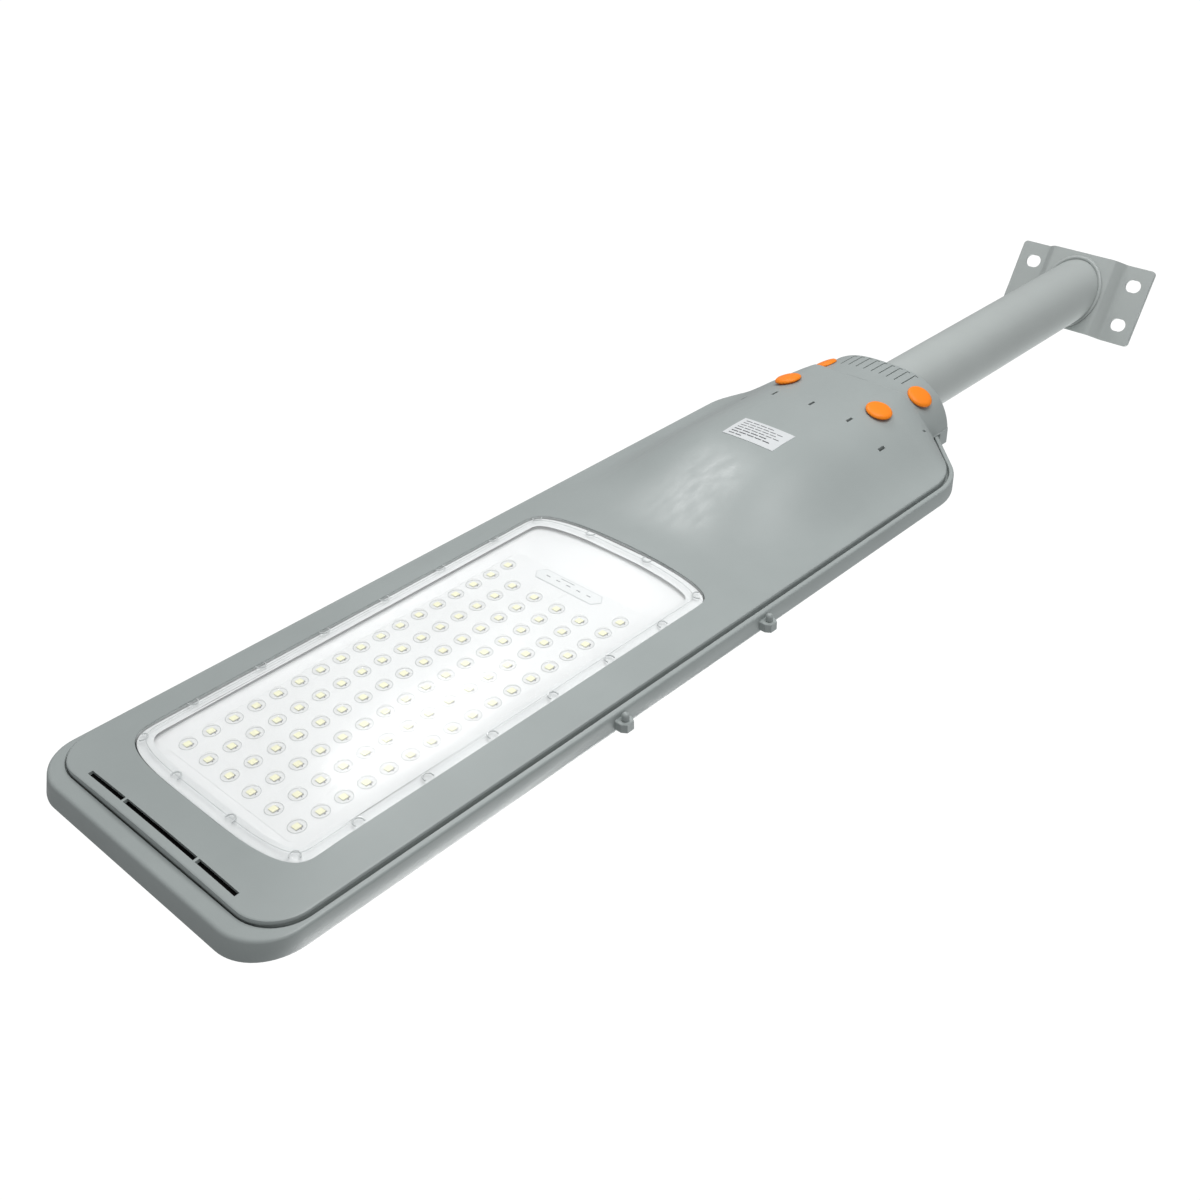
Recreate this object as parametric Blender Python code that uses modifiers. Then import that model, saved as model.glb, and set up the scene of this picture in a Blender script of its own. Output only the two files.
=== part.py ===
"""Solar street lamp on a wall arm.

The wall plate's back face passes through the origin.  The arm runs along -Y, the
solar panel looks up (+Z) and the light looks down (-Z).  The head's own shapes are
drawn from the point where the arm enters its neck: y runs towards the wall, z up.
"""
import math

import bmesh
import bpy
from mathutils import Matrix, Vector

MM = 0.001
GAP = 0.3                      # clearance between pieces that touch, in mm

# Driving dimensions, in millimetres
ARM_RADIUS = 30.0
ARM_WALL = 2.0
ARM_REACH = 358.0              # wall plane to the neck's end
ARM_INSERTION = 110.0          # length of arm inside the neck
PLATE_TILT = math.radians(30)  # the arm rises by this much on a vertical wall
PLATE_WIDTH = 150.0
PLATE_HEIGHT = 80.0
PLATE_CORNER = 4.0
PLATE_THICKNESS = 3.0
PLATE_RISE = 12.0              # how far the plate's middle stands off the wall
PLATE_STEP_IN = 33.0
PLATE_STEP_OUT = 43.5
PLATE_HOLE_X = 57.5
PLATE_HOLE_Z = 20.7
PLATE_HOLE_LENGTH = 16.5
PLATE_HOLE_RADIUS = 6.5

HEAD_LENGTH = 788.0
HEAD_HALF_WIDTH = 125.6
HEAD_CORNER = 36.0
LEDGE_Z = 4.4                  # the joint face between shell and cover
BACK_Z = 19.8                  # the shell's upper edge
SHOULDER_Y = -98.0             # where the head starts to narrow towards the neck
SHOULDER_RADIUS = 62.0         # its corners turn by 45 degrees and run on straight
SHELL_END = -5.7

COVER_END = 772.6              # far edge of the cover, from the neck's end
COVER_HALF_WIDTH = 119.3
COVER_CORNER = 30.0
COVER_WALL = 2.5
COVER_INSET = HEAD_HALF_WIDTH - COVER_HALF_WIDTH
COVER_EDGE_Z = 1.7             # height of the cover's outer edge
BULGE_FOOT = 112.0             # half width at the foot of the bulge
BULGE_END = 44.0               # the bulge stops here and the neck goes on
NECK_HALF_WIDTH = 69.6
NECK_FOOT_Z = 17.1
SKIRT_START = -13.2            # from here on the neck reaches down to its foot

LED_ROWS = 6
LED_COLUMNS = 16
LED_PITCH_X = 23.5
LED_PITCH_Y = 18.0
FIRST_LED_Y = -706.0
LED_Z = 1.7

LENS_HALF_WIDTH = 91.3
LENS_FAR = -739.0
LENS_NEAR = -351.5
LENS_RIM = 9.1
LENS_WALL = 2.0
LENS_GROOVE = 1.3

PANEL_HALF_WIDTH = 112.0
PANEL_FAR = -774.0
PANEL_NEAR = -136.0
PANEL_CORNER = 12.0
RECESS_Z = 15.0
SHELL_WALL = 3.0
FLOOR = 2.5
LEDGE_WIDTH = 12.0

HUMP_RADIUS = 36.0
SOCKET_RADIUS = 32.8
SLEEVE_RADIUS = 32.2
SLEEVE_LENGTH = 96.0

CELL_RADIUS = 13.0
CELL_LENGTH = 65.0
CELL_PITCH = 28.0
CELL_Z = -4.0
FIRST_CELL_Y = -204.0
STRAP_MARGIN = 19.0            # from an outer cell's centre to the strap's end

EAR_Z = -14.0                  # outer face of the clamp saddle's ears
SCREW_LENGTH = 26.0

PLUG_RADIUS = 11.7
PLUG_STEM = 8.6
PLUG_DEPTH = 5.0
PLUG_STANDOFF = 0.9            # the front caps' seat lies this far off the curved face
# x, y of each plug's centre on the cover, and its lean out to the side
PLUGS = {"front": (47.9, -82.4, math.radians(16)), "rear": (50.6, -23.6, math.radians(29))}

LUG_SIDE = -1                  # the lugs and their pins are on one side only
LUG_STATIONS = {"far": -490.5, "near": -335.5}
LUG_TOP = 9.5
LUG_FOOT = 17.2
PIN_X = 130.5


def smooth(value, start, end):
    """Smooth ramp from 0 at start to 1 at end."""
    t = min(1.0, max(0.0, (value - start) / (end - start)))
    return t * t * (3 - 2 * t)


# ---------------------------------------------------------------- the cover's shape

def shoulder_half_width(y, inset):
    """Half width past the shoulder: a 45 degree turn, then a straight run."""
    radius = SHOULDER_RADIUS - inset
    centre = HEAD_HALF_WIDTH - SHOULDER_RADIUS
    turn = radius * math.sqrt(0.5)
    along = y - SHOULDER_Y
    if along < turn:
        return centre + math.sqrt(radius ** 2 - along ** 2)
    return centre + 2 * turn - along


def cover_half_width(y):
    """Half width of the cover's outline at y."""
    far = -COVER_END
    if y < far + COVER_CORNER:
        rise = min(COVER_CORNER, far + COVER_CORNER - y)
        return COVER_HALF_WIDTH - COVER_CORNER + math.sqrt(COVER_CORNER ** 2 - rise ** 2)
    if y > SHOULDER_Y:
        return shoulder_half_width(y, COVER_INSET)
    return COVER_HALF_WIDTH


def crown(y):
    """Depth of the cover's gentle crown along the centre line."""
    return 3.0 + 9.5 * smooth(y, -775.0, -690.0) + 1.0 * smooth(y, -665.0, -355.0)


def cover_depth(x, y):
    """Depth of the cover's outer face below its edge at x, y."""
    foot = min(BULGE_FOOT, cover_half_width(y))
    soft = smooth(abs(x), 10.0, foot) ** 2
    firm = min(1.0, max(0.0, (abs(x) - 45.0) / (foot - 45.0))) ** 1.3
    blend = smooth(y, -90.0, -50.0)
    bulge = 1 - soft - (firm - soft) * blend
    rise = 29.0 * smooth(y, -331.0, -186.0) - 1.5 * smooth(y, -82.0, 0.0)
    across = 1 - min(1.0, abs(x) / COVER_HALF_WIDTH) ** 2
    return crown(y) * (across + (bulge - across) * blend) + rise * bulge


def neck_section(inset, foot):
    """The D-shaped section of the neck, from its left foot over to its right foot."""
    width = NECK_HALF_WIDTH - inset
    points = []
    for step in range(-7, 8):
        ratio = math.sin(math.radians(step * 90 / 7))
        depth = 49.5 * math.sqrt(max(0.0, 1 - abs(ratio) ** 3)) - 8.0 - inset
        points.append((ratio * width, COVER_EDGE_Z - depth))
    start = COVER_EDGE_Z - 0.5
    points[0] = (-width, start)
    points[-1] = (width, start)
    return [(-width, foot)] + points + [(width, foot)]


def bulge_section(y, inset, foot):
    """The crowned section of the cover at y, with its short upright edges."""
    half_width = cover_half_width(y)
    fractions = [0.0, 0.2, 0.4, 0.55, 0.7, 0.82, 0.92]
    inner = half_width - inset
    points = []
    for fraction in [-f for f in reversed(fractions)] + fractions[1:]:
        x = fraction * inner
        points.append((x, COVER_EDGE_Z + inset - cover_depth(x, y)))
    low = COVER_EDGE_Z + min(inset, 1.0)
    points = [(-inner, low)] + points + [(inner, low)]
    return [(-inner, foot)] + points + [(inner, foot)]


# ---------------------------------------------------------------- building helpers

def clear_scene():
    for thing in list(bpy.data.objects):
        bpy.data.objects.remove(thing, do_unlink=True)


def new_collection(name):
    group = bpy.data.collections.new(name)
    bpy.context.scene.collection.children.link(group)
    return group


def material(name, colour, roughness, metallic=0.0, alpha=1.0):
    finish = bpy.data.materials.new(name)
    finish.use_nodes = True
    shader = finish.node_tree.nodes["Principled BSDF"]
    shader.inputs["Base Color"].default_value = (*colour, 1.0)
    shader.inputs["Roughness"].default_value = roughness
    shader.inputs["Metallic"].default_value = metallic
    shader.inputs["Alpha"].default_value = alpha
    return finish


def add_object(name, mesh, finish, parent, group):
    thing = bpy.data.objects.new(name, mesh)
    group.objects.link(thing)
    thing.parent = parent
    if finish is not None:
        mesh.materials.append(finish)
    return thing


def mesh_from(build):
    """A mesh in metres from a bmesh that build() has drawn in millimetres."""
    bmesh.ops.recalc_face_normals(build, faces=build.faces)
    bmesh.ops.scale(build, vec=(MM, MM, MM), verts=build.verts)
    mesh = bpy.data.meshes.new("shape")
    build.to_mesh(mesh)
    build.free()
    return mesh


def round_off(mesh, angle=40):
    mesh.shade_smooth()
    mesh.set_sharp_from_angle(angle=math.radians(angle))
    return mesh


def box(low, high):
    build = bmesh.new()
    size = [b - a for a, b in zip(low, high)]
    centre = [(a + b) / 2 for a, b in zip(low, high)]
    bmesh.ops.create_cube(build, size=1.0)
    bmesh.ops.scale(build, vec=size, verts=build.verts)
    bmesh.ops.translate(build, vec=centre, verts=build.verts)
    return mesh_from(build)


def prism(outline, low, high, axis="Z"):
    """A flat outline pushed from low to high along an axis."""
    place = {"Z": lambda a, b, c: (a, b, c), "Y": lambda a, b, c: (a, c, b),
             "X": lambda a, b, c: (c, a, b)}[axis]
    build = bmesh.new()
    face = build.faces.new([build.verts.new(place(a, b, low)) for a, b in outline])
    grown = bmesh.ops.extrude_face_region(build, geom=[face])
    moved = [item for item in grown["geom"] if isinstance(item, bmesh.types.BMVert)]
    bmesh.ops.translate(build, vec=place(0, 0, high - low), verts=moved)
    return mesh_from(build)


def rod(radius, start, end, sides, axis="Y", centre=(0.0, 0.0)):
    """A plain round bar between two stations of an axis."""
    ring = [(centre[0] + radius * math.cos(2 * math.pi * k / sides),
             centre[1] + radius * math.sin(2 * math.pi * k / sides)) for k in range(sides)]
    return prism(ring, start, end, axis)


def loft_solid(outer, inner):
    """A closed shell between two matching grids of points."""
    build = bmesh.new()
    grids = [[[build.verts.new(point) for point in row] for row in grid]
             for grid in (outer, inner)]
    rows, columns = len(outer), len(outer[0])
    for grid in grids:
        for i in range(rows - 1):
            for j in range(columns - 1):
                build.faces.new((grid[i][j], grid[i + 1][j],
                                 grid[i + 1][j + 1], grid[i][j + 1]))
    border = [(0, j) for j in range(columns)]
    border += [(i, columns - 1) for i in range(1, rows)]
    border += [(rows - 1, j) for j in range(columns - 2, -1, -1)]
    border += [(i, 0) for i in range(rows - 2, 0, -1)]
    for (i, j), (k, m) in zip(border, border[1:] + border[:1]):
        build.faces.new((grids[0][i][j], grids[0][k][m], grids[1][k][m], grids[1][i][j]))
    return mesh_from(build)


def rounded_outline(half_width, far, near, radius, steps=5):
    """A rectangle with round corners, as x, y points."""
    points = []
    for cx, cy, turn in ((half_width - radius, near - radius, 0),
                         (radius - half_width, near - radius, 90),
                         (radius - half_width, far + radius, 180),
                         (half_width - radius, far + radius, 270)):
        for step in range(steps + 1):
            angle = math.radians(turn + 90 * step / steps)
            points.append((cx + radius * math.cos(angle), cy + radius * math.sin(angle)))
    return points


def head_outline(inset):
    """The head's plan outline, drawn in by inset: square end, shoulders, neck end."""
    half = []
    far = -HEAD_LENGTH + inset
    width = HEAD_HALF_WIDTH - inset
    radius = HEAD_CORNER - inset
    for step in range(7):
        angle = math.radians(90 * step / 6)
        half.append((width - radius + radius * math.sin(angle),
                     far + radius - radius * math.cos(angle)))
    end_x = NECK_HALF_WIDTH - COVER_WALL - GAP - inset
    turn = SHOULDER_RADIUS - inset
    for step in range(7):
        y = SHOULDER_Y + turn * math.sin(math.radians(45 * step / 6))
        half.append((shoulder_half_width(y, inset), y))
    half.append((end_x, y + half[-1][0] - end_x))
    half.append((end_x, SHELL_END - inset))
    return half + [(-x, y) for x, y in reversed(half)]


def lens_outline(inset, steps=8):
    """The lens flange's outline: a slightly bowed far end and a squarer near end."""
    width = LENS_HALF_WIDTH - inset
    half = []
    for tip, root, power in ((LENS_FAR + inset, -711.0, 3.2), (LENS_NEAR - inset, -378.0, 5.0)):
        side = []
        for step in range(steps + 1):
            angle = math.radians(90 * step / steps)
            side.append((width * math.sin(angle) ** (2 / power),
                         root + (tip - root) * math.cos(angle) ** (2 / power)))
        half += side if tip < root else list(reversed(side))
    half = [point for point in half if point[0] > 1.0]
    return half + [(-x, y) for x, y in reversed(half)]


def spun(name, profile, sides, finish, parent, group, location=(0, 0, 0), rotation=(0, 0, 0)):
    """A turned piece: an r, z profile with a Screw modifier about its own Z."""
    mesh = bpy.data.meshes.new("profile")
    mesh.from_pydata([(r * MM, 0.0, z * MM) for r, z in profile],
                     [(k, k + 1) for k in range(len(profile) - 1)], [])
    thing = add_object(name, mesh, finish, parent, group)
    thing.location = [value * MM for value in location]
    thing.rotation_euler = rotation
    spin = thing.modifiers.new("Turn", "SCREW")
    spin.steps = sides
    spin.render_steps = sides
    spin.use_merge_vertices = True
    spin.merge_threshold = 0.00001
    spin.use_smooth_shade = True
    return thing


def wire(name, points, radius, finish, parent, group, closed=False, resolution=1):
    """A round bar, bead or lead along a row of points."""
    curve = bpy.data.curves.new(name, "CURVE")
    curve.dimensions = "3D"
    curve.bevel_depth = radius * MM
    curve.bevel_resolution = resolution
    curve.use_fill_caps = not closed
    spline = curve.splines.new("POLY")
    spline.points.add(len(points) - 1)
    for point, place in zip(spline.points, points):
        point.co = (place[0] * MM, place[1] * MM, place[2] * MM, 1.0)
    spline.use_cyclic_u = closed
    thing = bpy.data.objects.new(name, curve)
    curve.materials.append(finish)
    group.objects.link(thing)
    thing.parent = parent
    return thing


def boolean(thing, cutter_mesh, operation, parent, name):
    """Cut a mesh from a piece, or join one to it."""
    cutter = add_object(name, cutter_mesh, None, parent, CUTTERS)
    cutter.hide_render = True
    cutter.display_type = "WIRE"
    step = thing.modifiers.new(name, "BOOLEAN")
    step.operation = operation
    step.object = cutter
    step.solver = "EXACT"
    return cutter


def empty(name, location, rotation=(0, 0, 0), parent=None):
    marker = bpy.data.objects.new(name, None)
    marker.empty_display_size = 0.02
    marker.location = [value * MM for value in location]
    marker.rotation_euler = rotation
    marker.parent = parent
    LAMP.objects.link(marker)
    return marker


clear_scene()
LAMP = new_collection("solar_street_lamp")
CUTTERS = new_collection("cutters")

GREY = material("grey_plastic", (0.36, 0.39, 0.38), 0.45)
PAINT = material("grey_paint", (0.42, 0.45, 0.44), 0.5, 0.2)
ORANGE = material("orange_plug", (0.95, 0.22, 0.02), 0.4)
CLEAR = material("clear_lens", (0.9, 0.93, 0.93), 0.1, alpha=0.35)
WHITE = material("white_reflector", (0.9, 0.9, 0.9), 0.35)
STEEL = material("zinc_steel", (0.62, 0.62, 0.6), 0.35, 1.0)
CELL_WRAP = material("battery_wrap", (0.05, 0.22, 0.5), 0.4)
BLACK = material("black_plastic", (0.03, 0.03, 0.03), 0.5)
RUBBER = material("black_rubber", (0.02, 0.02, 0.02), 0.8)
GLASS = material("panel_glass", (0.03, 0.05, 0.12), 0.08)
SILICON = material("solar_cells", (0.01, 0.02, 0.07), 0.3)
ALUMINIUM = material("aluminium", (0.7, 0.71, 0.72), 0.4, 1.0)
BOARD = material("circuit_board", (0.02, 0.2, 0.08), 0.45)
LABEL = material("label_paper", (0.9, 0.9, 0.9), 0.6)

ARM_Z = -PLATE_RISE * math.sin(PLATE_TILT)
WALL = empty("wall_frame", (0, 0, 0), (PLATE_TILT, 0, 0))
HEAD = empty("head_frame", (0, -ARM_REACH, ARM_Z))
ARM = empty("arm_frame", (0, -ARM_REACH, ARM_Z))
SLEEVE = empty("sleeve_frame", (0, -ARM_REACH, ARM_Z))


# ---------------------------------------------------------------- wall plate and arm

def wall_plate():
    top = -PLATE_RISE
    skin = PLATE_THICKNESS
    half = [(PLATE_WIDTH / 2, 0), (PLATE_STEP_OUT, 0), (PLATE_STEP_IN, top)]
    front = [(PLATE_STEP_IN + 1, top - skin), (PLATE_STEP_OUT + 1, -skin),
             (PLATE_WIDTH / 2, -skin)]
    outline = half + [(-x, y) for x, y in reversed(half)]
    outline += [(-x, y) for x, y in reversed(front)] + front
    thing = add_object("wall_plate", prism(outline, -PLATE_HEIGHT / 2, PLATE_HEIGHT / 2),
                       PAINT, WALL, LAMP)
    for side in (-1, 1):
        for level in (-1, 1):
            slot = []
            straight = PLATE_HOLE_LENGTH / 2 - PLATE_HOLE_RADIUS
            for step in range(16):
                angle = 2 * math.pi * (step + 0.5) / 16
                shift = straight if math.cos(angle) > 0 else -straight
                slot.append((side * PLATE_HOLE_X + shift + PLATE_HOLE_RADIUS * math.cos(angle),
                             level * PLATE_HOLE_Z + PLATE_HOLE_RADIUS * math.sin(angle)))
            boolean(thing, prism(slot, -10, 10, "Y"), "DIFFERENCE", WALL,
                    f"hole_{side}_{level}")
    corners = rounded_outline(PLATE_WIDTH / 2, -PLATE_HEIGHT / 2, PLATE_HEIGHT / 2, PLATE_CORNER)
    boolean(thing, prism(corners, -30, 10, "Y"), "INTERSECT", WALL, "plate_corners")


def arm_tube():
    inner_end = -ARM_INSERTION
    outer = rod(ARM_RADIUS, inner_end, ARM_REACH + 40, 48)
    thing = add_object("arm_tube", round_off(outer), PAINT, ARM, LAMP)
    bore = rod(ARM_RADIUS - ARM_WALL, inner_end - 5, ARM_REACH + 50, 48)
    boolean(thing, bore, "DIFFERENCE", ARM, "arm_bore")
    face = -PLATE_RISE - PLATE_THICKNESS - GAP
    boolean(thing, box((-90, face, -120), (90, face + 140, 120)), "DIFFERENCE", WALL,
            "arm_mitre")


def weld_bead():
    face = -PLATE_RISE - PLATE_THICKNESS
    bead = 1.6
    reach = ARM_RADIUS + bead + GAP
    points = []
    for step in range(32):
        angle = 2 * math.pi * step / 32
        across = reach * math.cos(angle)
        up = reach * math.sin(angle) / math.cos(PLATE_TILT)
        centre = -(face - bead - GAP + PLATE_RISE) * math.tan(PLATE_TILT)
        points.append((across, face - bead - GAP, up + centre))
    wire("weld_bead", points, bead, PAINT, WALL, LAMP, closed=True)


def socket_sleeve():
    start = -SLEEVE_LENGTH - 6
    thing = add_object("socket_sleeve", round_off(rod(SLEEVE_RADIUS, start, -6, 48)), RUBBER,
                       SLEEVE, LAMP)
    boolean(thing, rod(ARM_RADIUS + 0.5, start - 5, 5, 48), "DIFFERENCE", SLEEVE,
            "sleeve_bore")


# ---------------------------------------------------------------- housing

def back_shell():
    floor_low = RECESS_Z - FLOOR
    thing = add_object("back_shell", prism(head_outline(0), LEDGE_Z, BACK_Z), GREY, HEAD, LAMP)
    spring = math.asin((LEDGE_Z + FLOOR) / HUMP_RADIUS)
    angles = [spring + (math.pi - 2 * spring) * k / 18 for k in range(19)]
    arch = [(HUMP_RADIUS * math.cos(a), HUMP_RADIUS * math.sin(a)) for a in angles]
    boolean(thing, prism(arch, -118, -5.7, "Y"), "UNION", HEAD, "hump")
    end_wall = prism(neck_section(COVER_WALL + GAP, BACK_Z - 1), -10, -6, "Y")
    boolean(thing, end_wall, "UNION", HEAD, "end_wall")
    for name, station in LUG_STATIONS.items():
        lug = [(LUG_SIDE * x, station + y) for x, y in
               ((120, -7.5), (131.5, -7.5), (136.3, -4), (136.3, 4), (131.5, 7.5), (120, 7.5))]
        boolean(thing, prism(lug, LUG_TOP, LUG_FOOT), "UNION", HEAD, f"lug_{name}")
    room = prism(head_outline(SHELL_WALL), LEDGE_Z + FLOOR, floor_low)
    boolean(thing, room, "DIFFERENCE", HEAD, "room")
    ledge = [(x, min(y, -BULGE_END - 4)) for x, y in head_outline(LEDGE_WIDTH)]
    window = prism(ledge, LEDGE_Z - 5, LEDGE_Z + FLOOR + 1)
    boolean(thing, window, "DIFFERENCE", HEAD, "window")
    neck_way = box((-NECK_HALF_WIDTH + 4, -BULGE_END - 8, LEDGE_Z - 5),
                   (NECK_HALF_WIDTH - 4, -12, LEDGE_Z + FLOOR + 1))
    boolean(thing, neck_way, "DIFFERENCE", HEAD, "neck_way")
    recess = prism(rounded_outline(PANEL_HALF_WIDTH + 1, PANEL_FAR - 1, PANEL_NEAR + 1,
                                   PANEL_CORNER), RECESS_Z, BACK_Z + 5)
    boolean(thing, recess, "DIFFERENCE", HEAD, "panel_recess")
    boolean(thing, rod(SOCKET_RADIUS, -114, 5, 48), "DIFFERENCE", HEAD, "socket_bore")
    for name, x, y in clamp_spots():
        boss = rod(6.5, EAR_Z + 4.5, floor_low + 1, 16, "Z", (x, y))
        boolean(thing, boss, "UNION", HEAD, f"boss_{name}")
        bore = rod(3.3, EAR_Z, floor_low, 12, "Z", (x, y))
        boolean(thing, bore, "DIFFERENCE", HEAD, f"boss_bore_{name}")


def front_cover():
    foot = LEDGE_Z - GAP
    stations = [-COVER_END + COVER_CORNER * (1 - math.cos(math.radians(a)))
                for a in (0, 30, 60, 90)]
    stations += [-726, -690, -640, -560, -470, -400, -345, -321, -297, -273, -249, -225,
                 -201, -175, -140, SHOULDER_Y, -86, -74, -65, -58, -51, -BULGE_END]
    outer = [[(x, y, z) for x, z in bulge_section(y, 0, foot)] for y in stations]
    inner = []
    for y in stations:
        shifted = min(max(y, -COVER_END + COVER_WALL), -BULGE_END - COVER_WALL)
        row = bulge_section(y, COVER_WALL, foot)
        inner.append([(x, shifted, z) for x, z in row])
    for y, shifted, end in ((-43.4, -45.9, foot), (-20.0, -20.0, foot),
                            (SKIRT_START, SKIRT_START, foot),
                            (SKIRT_START + 0.3, SKIRT_START + 0.3, NECK_FOOT_Z),
                            (0.0, 0.0, NECK_FOOT_Z)):
        outer.append([(x, y, z) for x, z in neck_section(0, end)])
        inner.append([(x, shifted, z) for x, z in neck_section(COVER_WALL, end)])
    thing = add_object("front_cover", round_off(loft_solid(outer, inner), 30), GREY, HEAD, LAMP)
    window = prism(lens_outline(-LENS_GROOVE), -40, 10)
    boolean(thing, window, "DIFFERENCE", HEAD, "lens_window")
    for low, high in ((-80.5, -40.5), (-38.5, 38.5), (40.5, 80.5)):
        boolean(thing, box((low, -766.3, -30), (high, -762.7, 20)), "DIFFERENCE", HEAD,
                f"end_slot_{low:.0f}")
    for place in (-73.0, -39.3, 0.0, 39.3, 73.0):
        boolean(thing, box((place - 1.2, -117, -60), (place + 1.2, -109, 0)), "DIFFERENCE",
                HEAD, f"vent_{place:.0f}")
    for name, place, tilt in plug_places():
        hole = add_hole(place, tilt, PLUG_STEM + 0.5)
        boolean(thing, hole, "DIFFERENCE", HEAD, f"{name}_hole")


def plug_places():
    """Name, seat centre and lean of the four screw plugs."""
    for row, (x, y, lean) in PLUGS.items():
        for side, word in ((-1, "left"), (1, "right")):
            if row == "front":
                z = COVER_EDGE_Z - cover_depth(x, y) - PLUG_STANDOFF
            else:
                ratio = x / NECK_HALF_WIDTH
                z = COVER_EDGE_Z + 8.0 - 49.5 * math.sqrt(1 - ratio ** 3)
            yield f"plug_cap_{row}_{word}", (side * x, y, z), side * lean


def add_hole(place, lean, radius):
    """A short drill along a plug's own axis."""
    build = bmesh.new()
    bmesh.ops.create_cone(build, cap_ends=True, segments=20, radius1=radius, radius2=radius,
                          depth=30)
    turn = Matrix.Rotation(-lean, 4, "Y")
    bmesh.ops.transform(build, matrix=Matrix.Translation(Vector(place)) @ turn,
                        verts=build.verts)
    return mesh_from(build)


def plug_caps():
    profile = [(0, 4.2), (6.0, 3.8), (10.2, 2.8), (PLUG_RADIUS, 1.6), (PLUG_RADIUS, 0.4),
               (PLUG_STEM, 0.4), (PLUG_STEM, -PLUG_DEPTH), (0, -PLUG_DEPTH)]
    for name, place, lean in plug_places():
        spun(name, profile, 24, ORANGE, HEAD, LAMP, place, (math.pi, -lean, 0))


def side_pins():
    profile = [(0, 6.0), (2.0, 5.3), (3.2, 3.4), (3.2, 0), (0, 0)]
    for name, station in LUG_STATIONS.items():
        spun(f"side_pin_{name}", profile, 16, GREY, HEAD, LAMP,
             (LUG_SIDE * PIN_X, station, LUG_TOP - GAP), (math.pi, 0, 0))


# ---------------------------------------------------------------- solar panel

def solar_panel():
    outline = rounded_outline(PANEL_HALF_WIDTH, PANEL_FAR, PANEL_NEAR, PANEL_CORNER - 1)
    low = RECESS_Z + GAP
    add_object("solar_cells", prism(outline, low, low + 0.8), SILICON, HEAD, LAMP)
    add_object("panel_glass", prism(outline, low + 0.8 + GAP, BACK_Z - 0.3), GLASS, HEAD, LAMP)
    add_object("panel_junction_box", box((-32, -343, -1), (32, -317, RECESS_Z - FLOOR - GAP)),
               BLACK, HEAD, LAMP)


# ---------------------------------------------------------------- light unit

def lens_rows(inset, drop, raised):
    """Grid rows of the lens, drawn in by inset, at a depth below the cover's face."""
    width = LENS_HALF_WIDTH - inset
    rows = []
    angles = [14, 32, 50, 70, 90]
    far = [math.radians(a) for a in angles]
    stations = [(-711.0 + (LENS_FAR + inset + 711.0) * math.cos(a) ** (2 / 3.2),
                 width * math.sin(a) ** (2 / 3.2)) for a in far]
    stations += [(y, width) for y in (-640.0, -560.0, -470.0)]
    stations += [(-378.0 + (LENS_NEAR - inset + 378.0) * math.cos(a) ** (2 / 5.0),
                  width * math.sin(a) ** (2 / 5.0)) for a in reversed(far)]
    for y, half in stations:
        row = []
        for fraction in (-1, -0.97, -0.9, -0.87, -0.5, 0, 0.5, 0.87, 0.9, 0.97, 1):
            x = fraction * half
            inside = min(LENS_HALF_WIDTH - abs(x), y - LENS_FAR, LENS_NEAR - y)
            lift = raised * smooth(inside, LENS_RIM - 2.0, LENS_RIM + 1.0)
            row.append((x, y, COVER_EDGE_Z - cover_depth(x, y) - lift + drop))
        rows.append(row)
    return rows


def lens_cover():
    thing = loft_solid(lens_rows(0, 0, 2.0), lens_rows(0, LENS_WALL, 2.0))
    add_object("lens_cover", round_off(thing, 30), CLEAR, HEAD, LAMP)


def lens_gasket():
    outline = lens_outline(9.5, 5)
    path = []
    for (x, y), (p, q) in zip(outline, outline[1:] + outline[:1]):
        pieces = 1 + int(math.hypot(p - x, q - y) // 40)
        for step in range(pieces):
            a = x + (p - x) * step / pieces
            b = y + (q - y) * step / pieces
            path.append((a, b, COVER_EDGE_Z - cover_depth(a, b) + LENS_WALL + 1.3))
    wire("lens_gasket", path, 0.8, RUBBER, HEAD, LAMP, closed=True, resolution=0)


def reflector_tray():
    inset = 4.8
    rows = lens_rows(inset, 0, 0)
    outer, inner = [], []
    for row in rows:
        top = []
        for x, y, z in row:
            past = max((abs(x) - 68) / 12, (-718 - y) / 8, (y + 400) / 34)
            flange = z + LENS_WALL + 3.4
            level = LED_Z - 0.3
            top.append((x, y, level + (flange - level) * smooth(past, 0, 1)))
        outer.append(top)
        inner.append([(x, y, z + 1.4) for x, y, z in top])
    thing = add_object("reflector_tray", loft_solid(outer, inner), WHITE, HEAD, LAMP)
    boolean(thing, box((-66.5, -716, -30), (66.5, -401, 10)), "DIFFERENCE", HEAD, "led_window")
    for number, (x, y) in enumerate(lens_screw_spots()):
        if abs(x) < LENS_HALF_WIDTH - 5:
            notch = rod(3.2, -30, 5, 10, "Z", (x, y))
            boolean(thing, notch, "DIFFERENCE", HEAD, f"notch_{number}")


def led_places():
    for row in range(LED_ROWS):
        columns = LED_COLUMNS + (1 if row in (0, LED_ROWS - 1) else 0)
        for column in range(columns):
            yield ((row - (LED_ROWS - 1) / 2) * LED_PITCH_X,
                   FIRST_LED_Y + column * LED_PITCH_Y)


def light_board():
    low = LED_Z + 1.1 + GAP
    add_object("led_board", box((-70, -720, low), (70, -398, low + 1.6)), ALUMINIUM, HEAD, LAMP)
    sink = low + 1.6 + GAP
    add_object("heat_sink", box((-76, -724, sink), (76, -394, sink + 3)), ALUMINIUM, HEAD, LAMP)


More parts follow.
